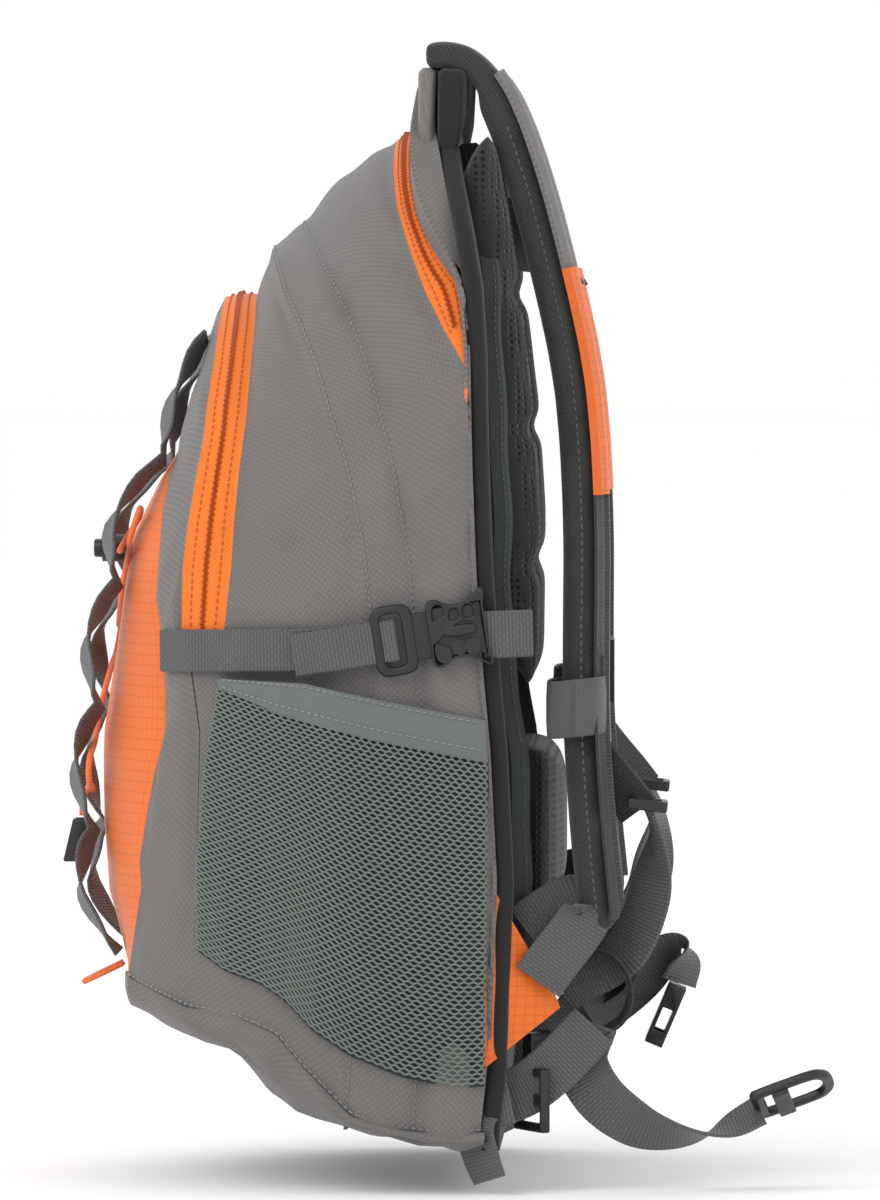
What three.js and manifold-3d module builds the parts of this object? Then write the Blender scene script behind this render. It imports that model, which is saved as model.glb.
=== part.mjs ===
// A daypack: a main and a front compartment closed by arched zips, mesh side pockets, a padded back
// with shoulder straps, a sternum strap, hip webbing and an elastic cord laced down the front.
// Millimetres, +Z up. The wearer's back is towards +Y, the front pocket faces -Y and the wearer's
// right is +X. Everything is drawn from the foot of the back panel, then moved so that the origin
// is the middle of the lumbar pad's face, where the pack rests on its wearer.
import * as THREE from 'three';
import { mergeVertices } from 'three/addons/utils/BufferGeometryUtils.js';
import Module from 'manifold-3d';

const wasm = await Module();
wasm.setup();

// ---------------------------------------------------------------- driving dimensions (mm)
const gap = 0.3; // between neighbours that touch
const fabric = 2; // coated fabric with its lining
const backFoam = 9; // back panel behind the bag
const sheet = 1.6; // frame sheet
const webbing = 1.8; // webbing thickness
const strapWidth = 20; // compression and sternum webbing
const beltWidth = 25; // shoulder and hip webbing

const halfWidth = 145; // bag, middle to side panel
const frontHalfWidth = 118; // front compartment, middle to side
const depth = 186; // back to the fullest point of the front
const backTop = 508; // top of the back panel
const baseRise = 85; // front edge of the base above the back edge
const stepDepth = 104; // where the front compartment starts

const zipCrest = [-40, 482]; // main zip's crest, y and z
const zipTilt = THREE.MathUtils.degToRad(18.4);
const zipRadius = 150;
const zipSpan = THREE.MathUtils.degToRad(56); // each side of the crest
const zipParked = THREE.MathUtils.degToRad(45); // slider from the crest, on the left side
const gussetWidth = 15; // orange strip that holds the zip
const chainWidth = 5.5; // closed zip

const frontZipFoot = [-135, 248]; // front zip's lower end, y and z
const frontZipLean = THREE.MathUtils.degToRad(5.4); // leaning back at the top
const frontZipParked = 14; // slider above the foot

const strapCentre = 72; // shoulder strap from the middle
const shoulderWidth = 58;
const shoulderThickness = 13;
const strapFlare = 40; // lower end further out than the top

const pocketBulge = 13; // mesh pocket off the side panel
const net = 1.5;

const lumbarSize = [190, 82]; // x and z
const lumbarHeight = 152; // middle of the lumbar pad
const lumbarFace = 35.5; // its flat face, y

const compressionHeight = 238;
const compressionTilt = THREE.MathUtils.degToRad(9); // rise of the buckle end

const haulHalfWidth = 26; // haul loop, middle to side
const haulDrop = 36;
const haulTop = 452;

const cordDiameter = 3;
const laceHalfWidth = 46; // front webbing from the middle
const wingX = 128; // side wings from the middle
const hipCentre = 124; // hip webbing and its tri-glide from the middle
const glideTurn = THREE.MathUtils.degToRad(25); // tri-glide, turned to face backwards and outwards

// ---------------------------------------------------------------- materials
const finish = (color, roughness = 0.85) => new THREE.MeshStandardMaterial({ color, roughness, metalness: 0 });
const grey = finish('#7d7a7a');
const orange = finish('#eb7828');
const black = finish('#232223');
const netting = finish('#5c625f');
const padMesh = finish('#323434');
const strapFabric = finish('#4b4e4a');
const ribbon = finish('#5f5d62');
const plastic = finish('#2d2d2d', 0.5);
const board = finish('#d9d9d6', 0.6);

// ---------------------------------------------------------------- solids
const bag = new THREE.Group();

function bare(geometry) {
  for (const name of Object.keys(geometry.attributes)) {
    if (name !== 'position') geometry.deleteAttribute(name);
  }
  return mergeVertices(geometry, 1e-4);
}

function toSolid(geometry) {
  const merged = bare(geometry.clone());
  return new wasm.Manifold(new wasm.Mesh({
    numProp: 3,
    vertProperties: Float32Array.from(merged.attributes.position.array),
    triVerts: Uint32Array.from(merged.index.array),
  }));
}

function toGeometry(solid) {
  const { vertProperties, triVerts } = solid.getMesh();
  const geometry = new THREE.BufferGeometry();
  geometry.setAttribute('position', new THREE.BufferAttribute(vertProperties, 3));
  geometry.setIndex(new THREE.BufferAttribute(triVerts, 1));
  return geometry;
}

const combine = (how) => (first, ...others) =>
  toGeometry(others.reduce((solid, other) => solid[how](toSolid(other)), toSolid(first)));
const common = combine('intersect');
const without = combine('subtract');
const joined = combine('add');

// The same geometry on the left of the pack.
function mirrored(geometry) {
  const copy = bare(geometry.clone()).scale(-1, 1, 1);
  const index = copy.index.array;
  for (let i = 0; i < index.length; i += 3) [index[i], index[i + 1]] = [index[i + 1], index[i]];
  return copy;
}

function add(name, geometry, material) {
  const part = new THREE.Mesh(geometry, material);
  part.name = name;
  bag.add(part);
}

function addPair(name, geometry, material) {
  add(`${name}_right`, geometry, material);
  add(`${name}_left`, mirrored(geometry), material);
}

// ---------------------------------------------------------------- outlines and prisms
const X = new THREE.Vector3(1, 0, 0);
const Y = new THREE.Vector3(0, 1, 0);
const Z = new THREE.Vector3(0, 0, 1);
const span = 220; // half the width of a prism that cuts the whole bag

const outline = (points) => new THREE.Shape(points.map(([u, v]) => new THREE.Vector2(u, v)));
const smooth = (points, steps) =>
  new THREE.SplineCurve(points.map(([u, v]) => new THREE.Vector2(u, v))).getPoints(steps).map((p) => [p.x, p.y]);
const rectangle = (u0, u1, v0, v1) => [[u0, v0], [u1, v0], [u1, v1], [u0, v1]];

// A shape drawn on two axes from an origin, extruded along their cross product.
function prism(shape, length, axisU, axisV, origin, segments = 8) {
  const geometry = new THREE.ExtrudeGeometry(shape, { depth: length, bevelEnabled: false,
    curveSegments: segments });
  const axisW = new THREE.Vector3().crossVectors(axisU, axisV);
  return geometry.applyMatrix4(new THREE.Matrix4().makeBasis(axisU, axisV, axisW).setPosition(origin));
}

const prismX = (points, x0 = -span, x1 = span) =>
  prism(outline(points), x1 - x0, Y, Z, new THREE.Vector3(x0, 0, 0));
const prismY = (points, y0, y1) => prism(outline(points), y1 - y0, X, Z, new THREE.Vector3(0, y1, 0));
const prismZ = (points, z0, z1) => prism(outline(points), z1 - z0, X, Y, new THREE.Vector3(0, 0, z0));
const block = (x0, x1, y0, y1, z0, z1) => new THREE.BoxGeometry(x1 - x0, y1 - y0, z1 - z0)
  .translate((x0 + x1) / 2, (y0 + y1) / 2, (z0 + z1) / 2);

function unit(from, to) {
  const length = Math.hypot(to[0] - from[0], to[1] - from[1]);
  return length < 1e-6 ? null : [(to[0] - from[0]) / length, (to[1] - from[1]) / length];
}

// Points moved to the left of their direction of travel.
function offset(points, distance, closed = false) {
  const count = points.length;
  const at = (i) => points[closed ? (i + count) % count : Math.min(Math.max(i, 0), count - 1)];
  return points.map((point, i) => {
    const into = unit(at(i - 1), point) ?? unit(point, at(i + 1));
    const out = unit(point, at(i + 1)) ?? into;
    const normal = [-(into[1] + out[1]), into[0] + out[0]];
    const scale = (distance * 2) / (normal[0] ** 2 + normal[1] ** 2);
    return [point[0] + normal[0] * scale, point[1] + normal[1] * scale];
  });
}

// A strip between two distances to the left of a line.
const strip = (points, near, far) => [...offset(points, near), ...offset(points, far).reverse()];

// A geometry with each of its points moved.
function bent(geometry, move) {
  const place = geometry.attributes.position;
  const point = new THREE.Vector3();
  for (let i = 0; i < place.count; i += 1) {
    move(point.fromBufferAttribute(place, i));
    place.setXYZ(i, point.x, point.y, point.z);
  }
  return geometry;
}

// ---------------------------------------------------------------- zip planes
const frame = (centre, up) => ({ centre, up, back: new THREE.Vector3().crossVectors(up, X) });
const mainUp = new THREE.Vector3(0, -Math.sin(zipTilt), Math.cos(zipTilt));
const mainZip = frame(new THREE.Vector3(0, ...zipCrest).addScaledVector(mainUp, -zipRadius), mainUp);
const frontUp = new THREE.Vector3(0, Math.sin(frontZipLean), Math.cos(frontZipLean));
const frontZip = frame(new THREE.Vector3(0, ...frontZipFoot), frontUp);

// A shape in a zip's plane, from a distance behind the plane to one in front of it.
function zipPrism(zip, shape, behind, front, segments = 14) {
  const start = zip.centre.clone().addScaledVector(zip.back, behind);
  return prism(shape, behind + front, X, zip.up, start, segments);
}
const zipSlab = (zip, behind, front, low = -500) =>
  zipPrism(zip, outline(rectangle(-span, span, low, 400)), behind, front);

// ---------------------------------------------------------------- the bag's outer shape
const backLine = smooth([[0, 0], [6, 110], [-3, 260], [-8, 378], [-25, backTop]], 10);
const topLine = [[-52, 484], [-75, 458], [-stepDepth, 427]];
const frontLine = smooth([[-127, 404], [-132, 360], [-157, 317], [-178, 243], [-depth, 160],
  [-172, baseRise]], 12);
const baseLine = [[-158, 66], [-118, 46], [-98, 24], [-60, 9]];
const sideOutline = [...backLine, ...topLine, ...frontLine, ...baseLine];

const halfPlan = [[halfWidth, 30], [halfWidth, -70], [halfWidth - 12, -118],
  [110, -150], [80, -depth + 6], [0, -depth - 4]];
const planOutline = [...halfPlan, ...halfPlan.slice(0, -1).reverse().map(([x, y]) => [-x, y])].reverse();

function arch(radius, side, centreHeight, foot) {
  const shape = new THREE.Shape();
  const start = Math.acos(Math.min(side / radius, 1));
  shape.moveTo(-side, foot);
  shape.lineTo(side, foot);
  shape.absarc(0, centreHeight, radius, start, Math.PI - start, false);
  return shape;
}

// The bag's outer solid, grown all round by a distance.
function bagSolid(grow) {
  const profile = prismX(offset(sideOutline, -grow, true));
  const plan = prismZ(offset(planOutline, -grow, true), -20, 560);
  const whole = common(profile, plan,
    zipPrism(mainZip, arch(zipRadius + grow, halfWidth + grow, 0, -450), 120, 400));
  const rear = block(-span, span, -stepDepth - grow, 80, -20, 560);
  const frontArch = arch(frontHalfWidth + grow, frontHalfWidth + grow, 300, -20);
  const front = prism(frontArch, 250, X, Z, new THREE.Vector3(0, -50, 0), 12);
  return joined(common(whole, rear), common(whole, front));
}

const skin = without(bagSolid(0), bagSolid(-fabric));

// ---------------------------------------------------------------- seams and the panels between them
const dividerLine = [[-106, 560], ...smooth([[-101, 440], [-79, 371], [-60, 310], [-52, 262], [-56, 150],
  [-66, -4]], 10)];
const panelEdge = [[-147, 560], [-147, 345], [-154, 280], [-151, 200], [-163, 138], [-168, 84], [-168, -20]];
const baseSeam = [[-230, 92], [-169, 83], [-118, 66], [-92, 52], [-61, 21], [-37, 15], [60, 14]];
const backSeam = offset(backLine, fabric + gap);

const aheadOf = (line, shift) => prismX([...offset(line, shift), [-400, line.at(-1)[1]], [-400, line[0][1]]]);
const aheadOfBack = prismX([...backSeam, [-400, backTop], [-400, 0]]);
const aboveBase = prismX([...offset(baseSeam, gap), [60, 700], [-230, 700]]);
const halfGusset = gussetWidth / 2;
const halfSlot = chainWidth / 2 + gap;
const topHalf = 92; // top panels, middle to their seams with the side panels
const topBand = block(-topHalf, topHalf, -span, 60, 300, 560);
const sideBand = block(topHalf + gap, span, -span, 60, -20, 560);

function addMainPanels() {
  const chainLow = zipRadius * Math.cos(zipSpan);
  const slab = common(zipSlab(mainZip, halfGusset, halfGusset), aheadOfBack);
  const slot = zipSlab(mainZip, halfSlot, halfSlot, chainLow - gap);
  add('main_zip_gusset', without(common(skin, slab), slot), orange);
  add('main_zip_chain', common(skin, zipSlab(mainZip, chainWidth / 2, chainWidth / 2, chainLow)), orange);
  const ahead = zipSlab(mainZip, -halfGusset - gap, 400);
  const panels = without(common(skin, aheadOfBack, ahead, aboveBase), aheadOf(dividerLine, 0));
  add('main_top_panel', common(panels, topBand), grey);
  addPair('main_side_panel', common(panels, sideBand), grey);
}

function addFrontPanels() {
  const start = aheadOf(dividerLine, -gap);
  const chainLow = 5;
  const slab = zipSlab(frontZip, halfGusset + gap, halfGusset + gap, -gap);
  const slot = zipSlab(frontZip, halfSlot, halfSlot, chainLow - gap);
  add('front_zip_gusset', without(common(skin, zipSlab(frontZip, halfGusset, halfGusset, 0)), slot), orange);
  add('front_zip_chain', common(skin, zipSlab(frontZip, chainWidth / 2, chainWidth / 2, chainLow)), orange);
  const aheadOfZip = zipSlab(frontZip, -halfGusset - gap, 300, 0);
  const panels = without(common(skin, start, aboveBase), slab, zipSlab(frontZip, 0, 300, -gap),
    aheadOf(panelEdge, 0));
  add('front_top_panel', common(panels, topBand), grey);
  addPair('front_side_panel', common(panels, sideBand), grey);
  add('front_pocket_rim', without(common(skin, aheadOfZip), aheadOf(panelEdge, 0)), grey);
  add('front_panel', common(skin, aboveBase, aheadOf(panelEdge, -gap)), orange);
  add('divider_panel', common(prismX(strip(dividerLine, 0, fabric)), bagSolid(-fabric - gap),
    block(-span, span, -span, 60, 20, 560)), grey);
}

function addBase() {
  add('base_panel', common(skin, aheadOfBack, prismX([[-230, -60], [60, -60], ...[...baseSeam].reverse()])), grey);
}

addMainPanels();
addFrontPanels();
addBase();

// ---------------------------------------------------------------- back
const backSkinLine = offset(backLine, -backFoam); // outer face of the back panel
const yokeRise = 24; // collar outside the main zip
const backArch = zipRadius + yokeRise - 2;
const backOutline = arch(backArch, halfWidth, backTop - backArch, 6);
const sheetHalf = Math.min(halfWidth - 20, zipRadius - 25);
const padColumn = [34, 112]; // each back pad's edges from the middle

function addBack() {
  const face = prism(backOutline, 200, X, Z, new THREE.Vector3(0, 100, 0), 12);
  add('back_panel', common(prismX(strip(backLine, -backFoam, fabric)), face), black);
  const inside = fabric + gap;
  const sheetOutline = arch(sheetHalf, sheetHalf, 300, 24);
  add('frame_sheet', common(prismX(strip(backLine, inside, inside + sheet)),
    prism(sheetOutline, 200, X, Z, new THREE.Vector3(0, 100, 0))), board);
}

// The grey collar above the main zip, which carries the shoulder straps.
function addYoke() {
  const collar = zipPrism(mainZip, arch(zipRadius + yokeRise, halfWidth, 6, 0), 120, -halfGusset - gap);
  const hollow = zipPrism(mainZip, arch(zipRadius - fabric, halfWidth - fabric, 0, -300), 130, 20);
  const top = block(-span, span, -span, 60, -20, backTop);
  add('top_yoke', common(without(collar, hollow), aheadOfBack, top), grey);
}

function addPads() {
  const padFace = [[21, 216], [22, 300], [19, 350], [13, 400], [8, 440], [0, 486]];
  const low = padFace[0][1];
  const high = padFace.at(-1)[1];
  const behind = offset(backSkinLine, -gap).filter(([, z]) => z > low + 4 && z < high - 4);
  const column = prismX([...padFace, ...[...behind].reverse()], ...padColumn);
  addPair('back_pad', column, padMesh);
  const [width, height] = lumbarSize;
  const lumbarLow = lumbarHeight - height / 2;
  const pad = common(block(-width / 2, width / 2, 0, lumbarFace, lumbarLow, lumbarLow + height),
    prismX([...offset(backSkinLine, -gap), [200, backTop], [200, 0]]));
  add('lumbar_pad', pad, padMesh);
}

// ---------------------------------------------------------------- sides
// A tray of netting on the side panel, open at the top.
function addMeshPockets() {
  const rim = [[-122, 223], [-2, 206]];
  const foot = [[-1, 36], [-30, 37], [-78, 62], [-118, 88], [-134, 100]];
  const face = [...rim, ...foot];
  const opening = [[-122 + net * 2, 240], [-2 - net, 240], ...offset(face, net, true).slice(2)];
  const tray = without(common(bagSolid(pocketBulge), prismX(face, 60, span)),
    bagSolid(gap), common(bagSolid(pocketBulge - net), prismX(opening, 60, span)));
  addPair('mesh_pocket', tray, netting);
}

function addWings() {
  const corners = [[16.5, 129], [22, 97], [38, 70], [20, 56], [16.5, 44]];
  addPair('side_wing', prismX(corners.reverse(), wingX - 2, wingX + 2), orange);
}

// ---------------------------------------------------------------- webbing, buckles and zip sliders
// A webbing lying along a line in y and z, its width along X.
const ribbonX = (line, x, width) => prismX(strip(line, -webbing / 2, webbing / 2), x - width / 2, x + width / 2);

// A geometry drawn along a strap (u), across it (v) and out of it (w), placed at a point.
function placed(geometry, point, along, across) {
  const out = new THREE.Vector3().crossVectors(along, across);
  return geometry.clone().applyMatrix4(new THREE.Matrix4().makeBasis(along, across, out).setPosition(point));
}

const buckle = { width: 30, thick: 9, socket: 31, loop: 21, engaged: 18 };
const slotHalf = strapWidth / 2 + 1;

// Side-release buckle, with its mouth at u = 0.
function buckleSocket() {
  const half = buckle.width / 2;
  const body = block(0, buckle.socket, -half, half, -buckle.thick / 2, buckle.thick / 2);
  const pocket = block(-1, buckle.engaged + 2, -half + 4.5, half - 4.5, -2.7, 2.7);
  const windows = block(7, buckle.engaged + 1, -half - 1, half + 1, -2.7, 2.7);
  const barSlot = block(buckle.socket - 7, buckle.socket - 3, -slotHalf, slotHalf, -6, 6);
  return without(body, pocket, windows, barSlot);
}

function bucklePlug() {
  const half = buckle.width / 2;
  const frameBody = block(-buckle.loop, -gap, -half, half, -3.2, 3.2);
  const slot = block(4 - buckle.loop, 11 - buckle.loop, -slotHalf, slotHalf, -6, 6);
  const arms = [-1, 1].map((side) => {
    const middle = side * (half - 7);
    return block(-2, buckle.engaged, middle - 1.8, middle + 1.8, -2.2, 2.2);
  });
  return without(joined(frameBody, block(-2, buckle.engaged - 4, -2, 2, -1.6, 1.6), ...arms), slot);
}

// Drawn with u along the zip, v across it and w out of the fabric, from the fabric's surface.
const slider = { length: 12, width: 9, thick: 3, lift: 0.4, bail: 7 };
function zipSlider() {
  const base = slider.lift;
  const body = block(-slider.length / 2, slider.length / 2, -slider.width / 2, slider.width / 2,
    base, base + slider.thick);
  const bail = without(block(-4, 4, -0.7, 0.7, base + 2, base + slider.bail),
    block(-2.8, 2.8, -2, 2, base + slider.thick, base + slider.bail - 1.3));
  return joined(body, bail);
}

const pivotLift = slider.lift + slider.thick + 1.4;
function zipPull() {
  const plate = block(-0.8, 24, -3.5, 3.5, pivotLift - 0.8, pivotLift + 0.8);
  return without(plate, block(0.8, 5.4, -1.5, 1.5, 0, 20));
}

// ---------------------------------------------------------------- zips' sliders, parked on the left
function addSliders() {
  const angle = -zipParked;
  const out = X.clone().multiplyScalar(Math.sin(angle)).addScaledVector(mainZip.up, Math.cos(angle));
  const down = X.clone().multiplyScalar(-Math.cos(angle)).addScaledVector(mainZip.up, Math.sin(angle));
  const place = mainZip.centre.clone().addScaledVector(out, zipRadius);
  const across = new THREE.Vector3().crossVectors(out, down);
  add('main_zip_slider', placed(zipSlider(), place, down, across), plastic);
  add('main_zip_pull', placed(zipPull(), place, down, across), plastic);
  const side = X.clone().negate();
  const foot = frontZip.centre.clone().addScaledVector(frontZip.up, frontZipParked);
  const frontPlace = foot.addScaledVector(side, frontHalfWidth);
  const frontDown = frontZip.up.clone().negate();
  const frontAcross = new THREE.Vector3().crossVectors(side, frontDown);
  add('front_zip_slider', placed(zipSlider(), frontPlace, frontDown, frontAcross), plastic);
  add('front_zip_pull', placed(zipPull(), frontPlace, frontDown, frontAcross), plastic);
}

// ---------------------------------------------------------------- compression straps
const rise = new THREE.Vector3(0, Math.cos(compressionTilt), Math.sin(compressionTilt));
const riseAcross = new THREE.Vector3(0, -Math.sin(compressionTilt), Math.cos(compressionTilt));
const buckleX = halfWidth + gap + webbing + gap + buckle.thick / 2;
const buckleMouth = new THREE.Vector3(buckleX, -23, compressionHeight + 9);

function addCompressionStraps() {
  const route = [[111, -150], [frontHalfWidth, -139], [frontHalfWidth, -132], [halfWidth - 7, -106],
    [halfWidth, -71], [halfWidth, -66]];
  const low = compressionHeight - strapWidth / 2;
  addPair('compression_strap', prismZ(strip(route, -gap - webbing, -gap), low, low + strapWidth), ribbon);
  const tail = block(-66, -buckle.loop - gap, -strapWidth / 2, strapWidth / 2, -webbing / 2, webbing / 2);
  addPair('buckle_strap', placed(tail, buckleMouth, rise, riseAcross), ribbon);
  addPair('buckle_plug', placed(bucklePlug(), buckleMouth, rise, riseAcross), plastic);
  addPair('buckle_socket', placed(buckleSocket(), buckleMouth, rise, riseAcross), plastic);
}

// ---------------------------------------------------------------- haul loop
function addHaulLoop() {
  const half = haulHalfWidth;
  const route = smooth([[-half, haulTop], [-half, haulTop - 14], [0, haulTop - haulDrop],
    [half, haulTop - 14], [half, haulTop]], 14);
  add('haul_loop', prismY(strip(route, -webbing / 2, webbing / 2), -1, -1 + strapWidth), ribbon);
}

// ---------------------------------------------------------------- front webbing and elastic cord
const frontSurface = [[-125, 408], ...frontLine.slice(1)];

// The front surface's y at a height.
function frontY(z) {
  const i = Math.max(1, frontSurface.findIndex(([, height]) => height <= z));
  const [[y0, z0], [y1, z1]] = [frontSurface[i - 1], frontSurface[i]];
  return y0 + ((y1 - y0) * (z0 - z)) / (z0 - z1);
}

const loops = 5;
const loopStand = 8; // a loop of the front webbing off the fabric
function addFrontWebbing() {
  const top = 384;
  const bottom = 92;
  const steps = loops * 6;
  const route = Array.from({ length: steps + 1 }, (_, i) => {
    const z = top + ((bottom - top) * i) / steps;
    return [frontY(z) - 1.6 - loopStand * Math.abs(Math.sin((Math.PI * i) / 6)), z];
  });
  addPair('front_webbing', ribbonX(route, laceHalfWidth, strapWidth), ribbon);
}

// The elastic cord from its end in the cord lock, laced down the front to its toggle.
const bungeeRoute = [[-14, -176, 284], [2, -176, 284], [22, -176, 284], [36, -166.6, 299], [60, -164.5, 304],
  [64, -166.8, 297], [60, -169.4, 289], [36, -171, 284], [0, -176.3, 265], [-36, -180, 248],
  [-60, -180.7, 244], [-64, -181.7, 238], [-60, -183, 231], [-36, -183.7, 226], [0, -186.5, 209],
  [36, -187.7, 192], [60, -188.2, 187], [64, -188.8, 180], [60, -188.6, 173], [36, -188.5, 169],
  [8, -191.5, 170], [-2, -195.3, 164], [-2, -196, 155]];
const toolLoopRoute = [[20, -174.5, 86], [21, -187, 80], [27, -193, 77], [33, -187, 80], [34, -174.5, 86]];
const cordLine = (points) => new THREE.CatmullRomCurve3(points.map((p) => new THREE.Vector3(...p)), false,
  'catmullrom', 0.4);
const round = (radius) => new THREE.Shape(Array.from({ length: 8 }, (_, i) => new THREE.Vector2(
  radius * Math.cos((i * Math.PI) / 4), radius * Math.sin((i * Math.PI) / 4))));
const tube = (curve, diameter, steps) =>
  new THREE.ExtrudeGeometry(round(diameter / 2), { steps, extrudePath: curve, bevelEnabled: false });

function addCords() {
  add('bungee_cord', tube(cordLine(bungeeRoute), cordDiameter, 80), orange);
  add('tool_loop', tube(cordLine(toolLoopRoute), cordDiameter, 16), orange);
  const [endX, endY, endZ] = bungeeRoute.at(-1);
  const toggle = [[endY - 9, endZ - 22], [endY + 4, endZ - 22], [endY + 4, endZ - 1], [endY - 4, endZ - 1]];
  add('cord_end', prismX(toggle, endX - 6, endX + 6), plastic);
}

const lock = { radius: 6.5, length: 14, hole: 2.5, bore: 4.8, boreDepth: 6.5, button: 4.4, seat: 3, proud: 4 };
function addCordLock() {
  const [lockX, y, lockZ] = bungeeRoute[1];
  const turned = (profile) => new THREE.LatheGeometry(profile.map(([r, h]) => new THREE.Vector2(r, h)), 16)
    .rotateX(Math.PI).translate(lockX, y, lockZ);
  const back = -4.2; // behind the cord's middle
  const front = back + lock.length;
  const shell = turned([[0, back], [lock.radius, back], [lock.radius, front], [lock.bore, front],
    [lock.bore, front - lock.boreDepth], [0, front - lock.boreDepth]]);
  const hole = new THREE.CylinderGeometry(lock.hole, lock.hole, 40, 12).rotateZ(Math.PI / 2).translate(lockX, y, lockZ);
  add('cord_lock', without(shell, hole), plastic);
  const seat = front - lock.seat;
  add('cord_lock_button', turned([[0, seat], [lock.button, seat], [lock.button, front + lock.proud],
    [0, front + lock.proud]]), plastic);
}

// ---------------------------------------------------------------- harness
const strapLine = smooth([[-30, 518], [-12, 517], [3, 502], [18, 463], [32, 410], [42, 360], [46, 300],
  [46, 240], [46.5, 200], [50, 150], [55, 104]], 24);
const flare = (z) => strapFlare * THREE.MathUtils.smoothstep(400 - z, 0, 250);
const lowerCentre = strapCentre + strapFlare;

function addShoulderStraps() {
  const half = shoulderThickness / 2;
  const pad = prismX([...offset(strapLine, half), ...offset(strapLine, -half).reverse()],
    strapCentre - shoulderWidth / 2, strapCentre + shoulderWidth / 2);
  addPair('shoulder_strap', bent(pad, (p) => p.setX(p.x + flare(p.z))), strapFabric);
  const route = [[70, 186], [84, 146], ...smooth([[86, 134], [82, 114], [68, 98], [54, 89], [43, 84]], 8)];
  addPair('adjuster_webbing', ribbonX(route, lowerCentre, beltWidth), ribbon);
}

// A frame of moulded plastic that webbing threads through, drawn like a buckle's parts.
function ladder(length, thick, bars) {
  const half = beltWidth / 2 + 3;
  const slots = bars.map(([from, to]) => block(from, to, -beltWidth / 2 - 0.8, beltWidth / 2 + 0.8, -9, 9));
  return without(block(-length / 2, length / 2, -half, half, -thick / 2, thick / 2), ...slots);
}

function addLadderLocks() {
  const downhill = new THREE.Vector3(0, 14, -40).normalize();
  const tipped = ladder(19, 5, [[-6, 6]]).rotateY(THREE.MathUtils.degToRad(64));
  addPair('ladder_lock', placed(tipped, new THREE.Vector3(lowerCentre, 77, 166), downhill, X), plastic);
  const upright = ladder(30, 5, [[-11, -3], [3, 11]]);
  const turned = X.clone().applyAxisAngle(Z, glideTurn);
  addPair('tri_glide', placed(upright, new THREE.Vector3(hipCentre, 23, 28), Z, turned), plastic);
}

const sternumY = 56;
const sternumZ = 226;
function addSternum() {
  const mouth = new THREE.Vector3(0, sternumY, sternumZ);
  const reach = strapCentre + flare(sternumZ) + 10;
  const ribbonAt = (x0, x1) => block(x0, x1, sternumY - webbing / 2, sternumY + webbing / 2,
    sternumZ - strapWidth / 2, sternumZ + strapWidth / 2);
  add('sternum_webbing_right', ribbonAt(buckle.socket + gap, reach), ribbon);
  add('sternum_webbing_left', ribbonAt(-reach, -buckle.loop - gap), ribbon);
  add('sternum_socket', placed(buckleSocket(), mouth, X, Z), plastic);
  add('sternum_plug', placed(bucklePlug(), mouth, X, Z), plastic);
}

// ---------------------------------------------------------------- hip webbing
function addHipBelt() {
  const right = smooth([[51, 64], [46, 47], [54, 30], [70, 17], [86, 11.5], [102, 11], [117, 16], [130, 23]], 16);
  const left = smooth([[47, 50], [60, 58], [73, 70], [84, 82], [93, 86], [95, 78], [91, 67]], 16);
  add('hip_webbing_right', ribbonX(right, hipCentre, beltWidth), ribbon);
  add('hip_webbing_left', ribbonX(left, -hipCentre, beltWidth), ribbon);
  const end = (line, x, reach) => {
    const heading = new THREE.Vector3(0, ...unit(line.at(-2), line.at(-1)));
    return [new THREE.Vector3(x, ...line.at(-1)).addScaledVector(heading, reach + 1), heading];
  };
  const [plugMouth, outward] = end(right, hipCentre, buckle.loop);
  add('hip_plug', placed(bucklePlug(), plugMouth, outward, X), plastic);
  const [socketMouth, onward] = end(left, -hipCentre, buckle.socket);
  add('hip_socket', placed(buckleSocket(), socketMouth, onward.clone().negate(), X), plastic);
}

addBack();
addYoke();
addPads();
addMeshPockets();
addWings();
addSliders();
addCompressionStraps();
addHaulLoop();
addFrontWebbing();
addCords();
addCordLock();
addShoulderStraps();
addLadderLocks();
addSternum();
addHipBelt();

bag.position.set(0, -lumbarFace, -lumbarHeight);

export default bag;
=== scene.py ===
import math

import bmesh
import bpy
import numpy as np
from mathutils import Matrix, Vector
from mathutils.bvhtree import BVHTree


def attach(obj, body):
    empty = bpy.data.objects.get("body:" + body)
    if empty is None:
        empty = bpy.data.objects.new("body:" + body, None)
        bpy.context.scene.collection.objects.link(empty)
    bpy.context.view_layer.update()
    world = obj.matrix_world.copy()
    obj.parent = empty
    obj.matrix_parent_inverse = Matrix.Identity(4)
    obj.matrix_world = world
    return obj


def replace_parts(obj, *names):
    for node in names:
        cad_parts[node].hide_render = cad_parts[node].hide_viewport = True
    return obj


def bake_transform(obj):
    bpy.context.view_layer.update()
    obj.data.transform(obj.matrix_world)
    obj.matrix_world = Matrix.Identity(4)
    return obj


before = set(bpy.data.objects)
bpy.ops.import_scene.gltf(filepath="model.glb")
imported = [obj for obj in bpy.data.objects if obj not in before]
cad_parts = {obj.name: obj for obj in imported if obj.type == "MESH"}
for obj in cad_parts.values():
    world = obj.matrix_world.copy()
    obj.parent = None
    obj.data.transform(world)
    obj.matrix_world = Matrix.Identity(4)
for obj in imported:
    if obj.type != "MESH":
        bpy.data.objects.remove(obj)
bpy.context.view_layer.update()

# ---------------------------------------------------------------- where the bag is drawn from
LUMBAR_FACE_MM = 35.5
LUMBAR_HEIGHT_MM = 152
BACK_HALF_MM = 144.0  # half the width of the back panel
BACK_ARCH_MM = 172.0  # radius of the arch at its top
BACK_ARCH_FOOT_MM = 336  # height of that arch's centre
STRAP_APART_MM = 72  # from the middle of the back to the middle of a shoulder strap
ADJUSTER_APART_MM = 112
HIP_APART_MM = 124
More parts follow.
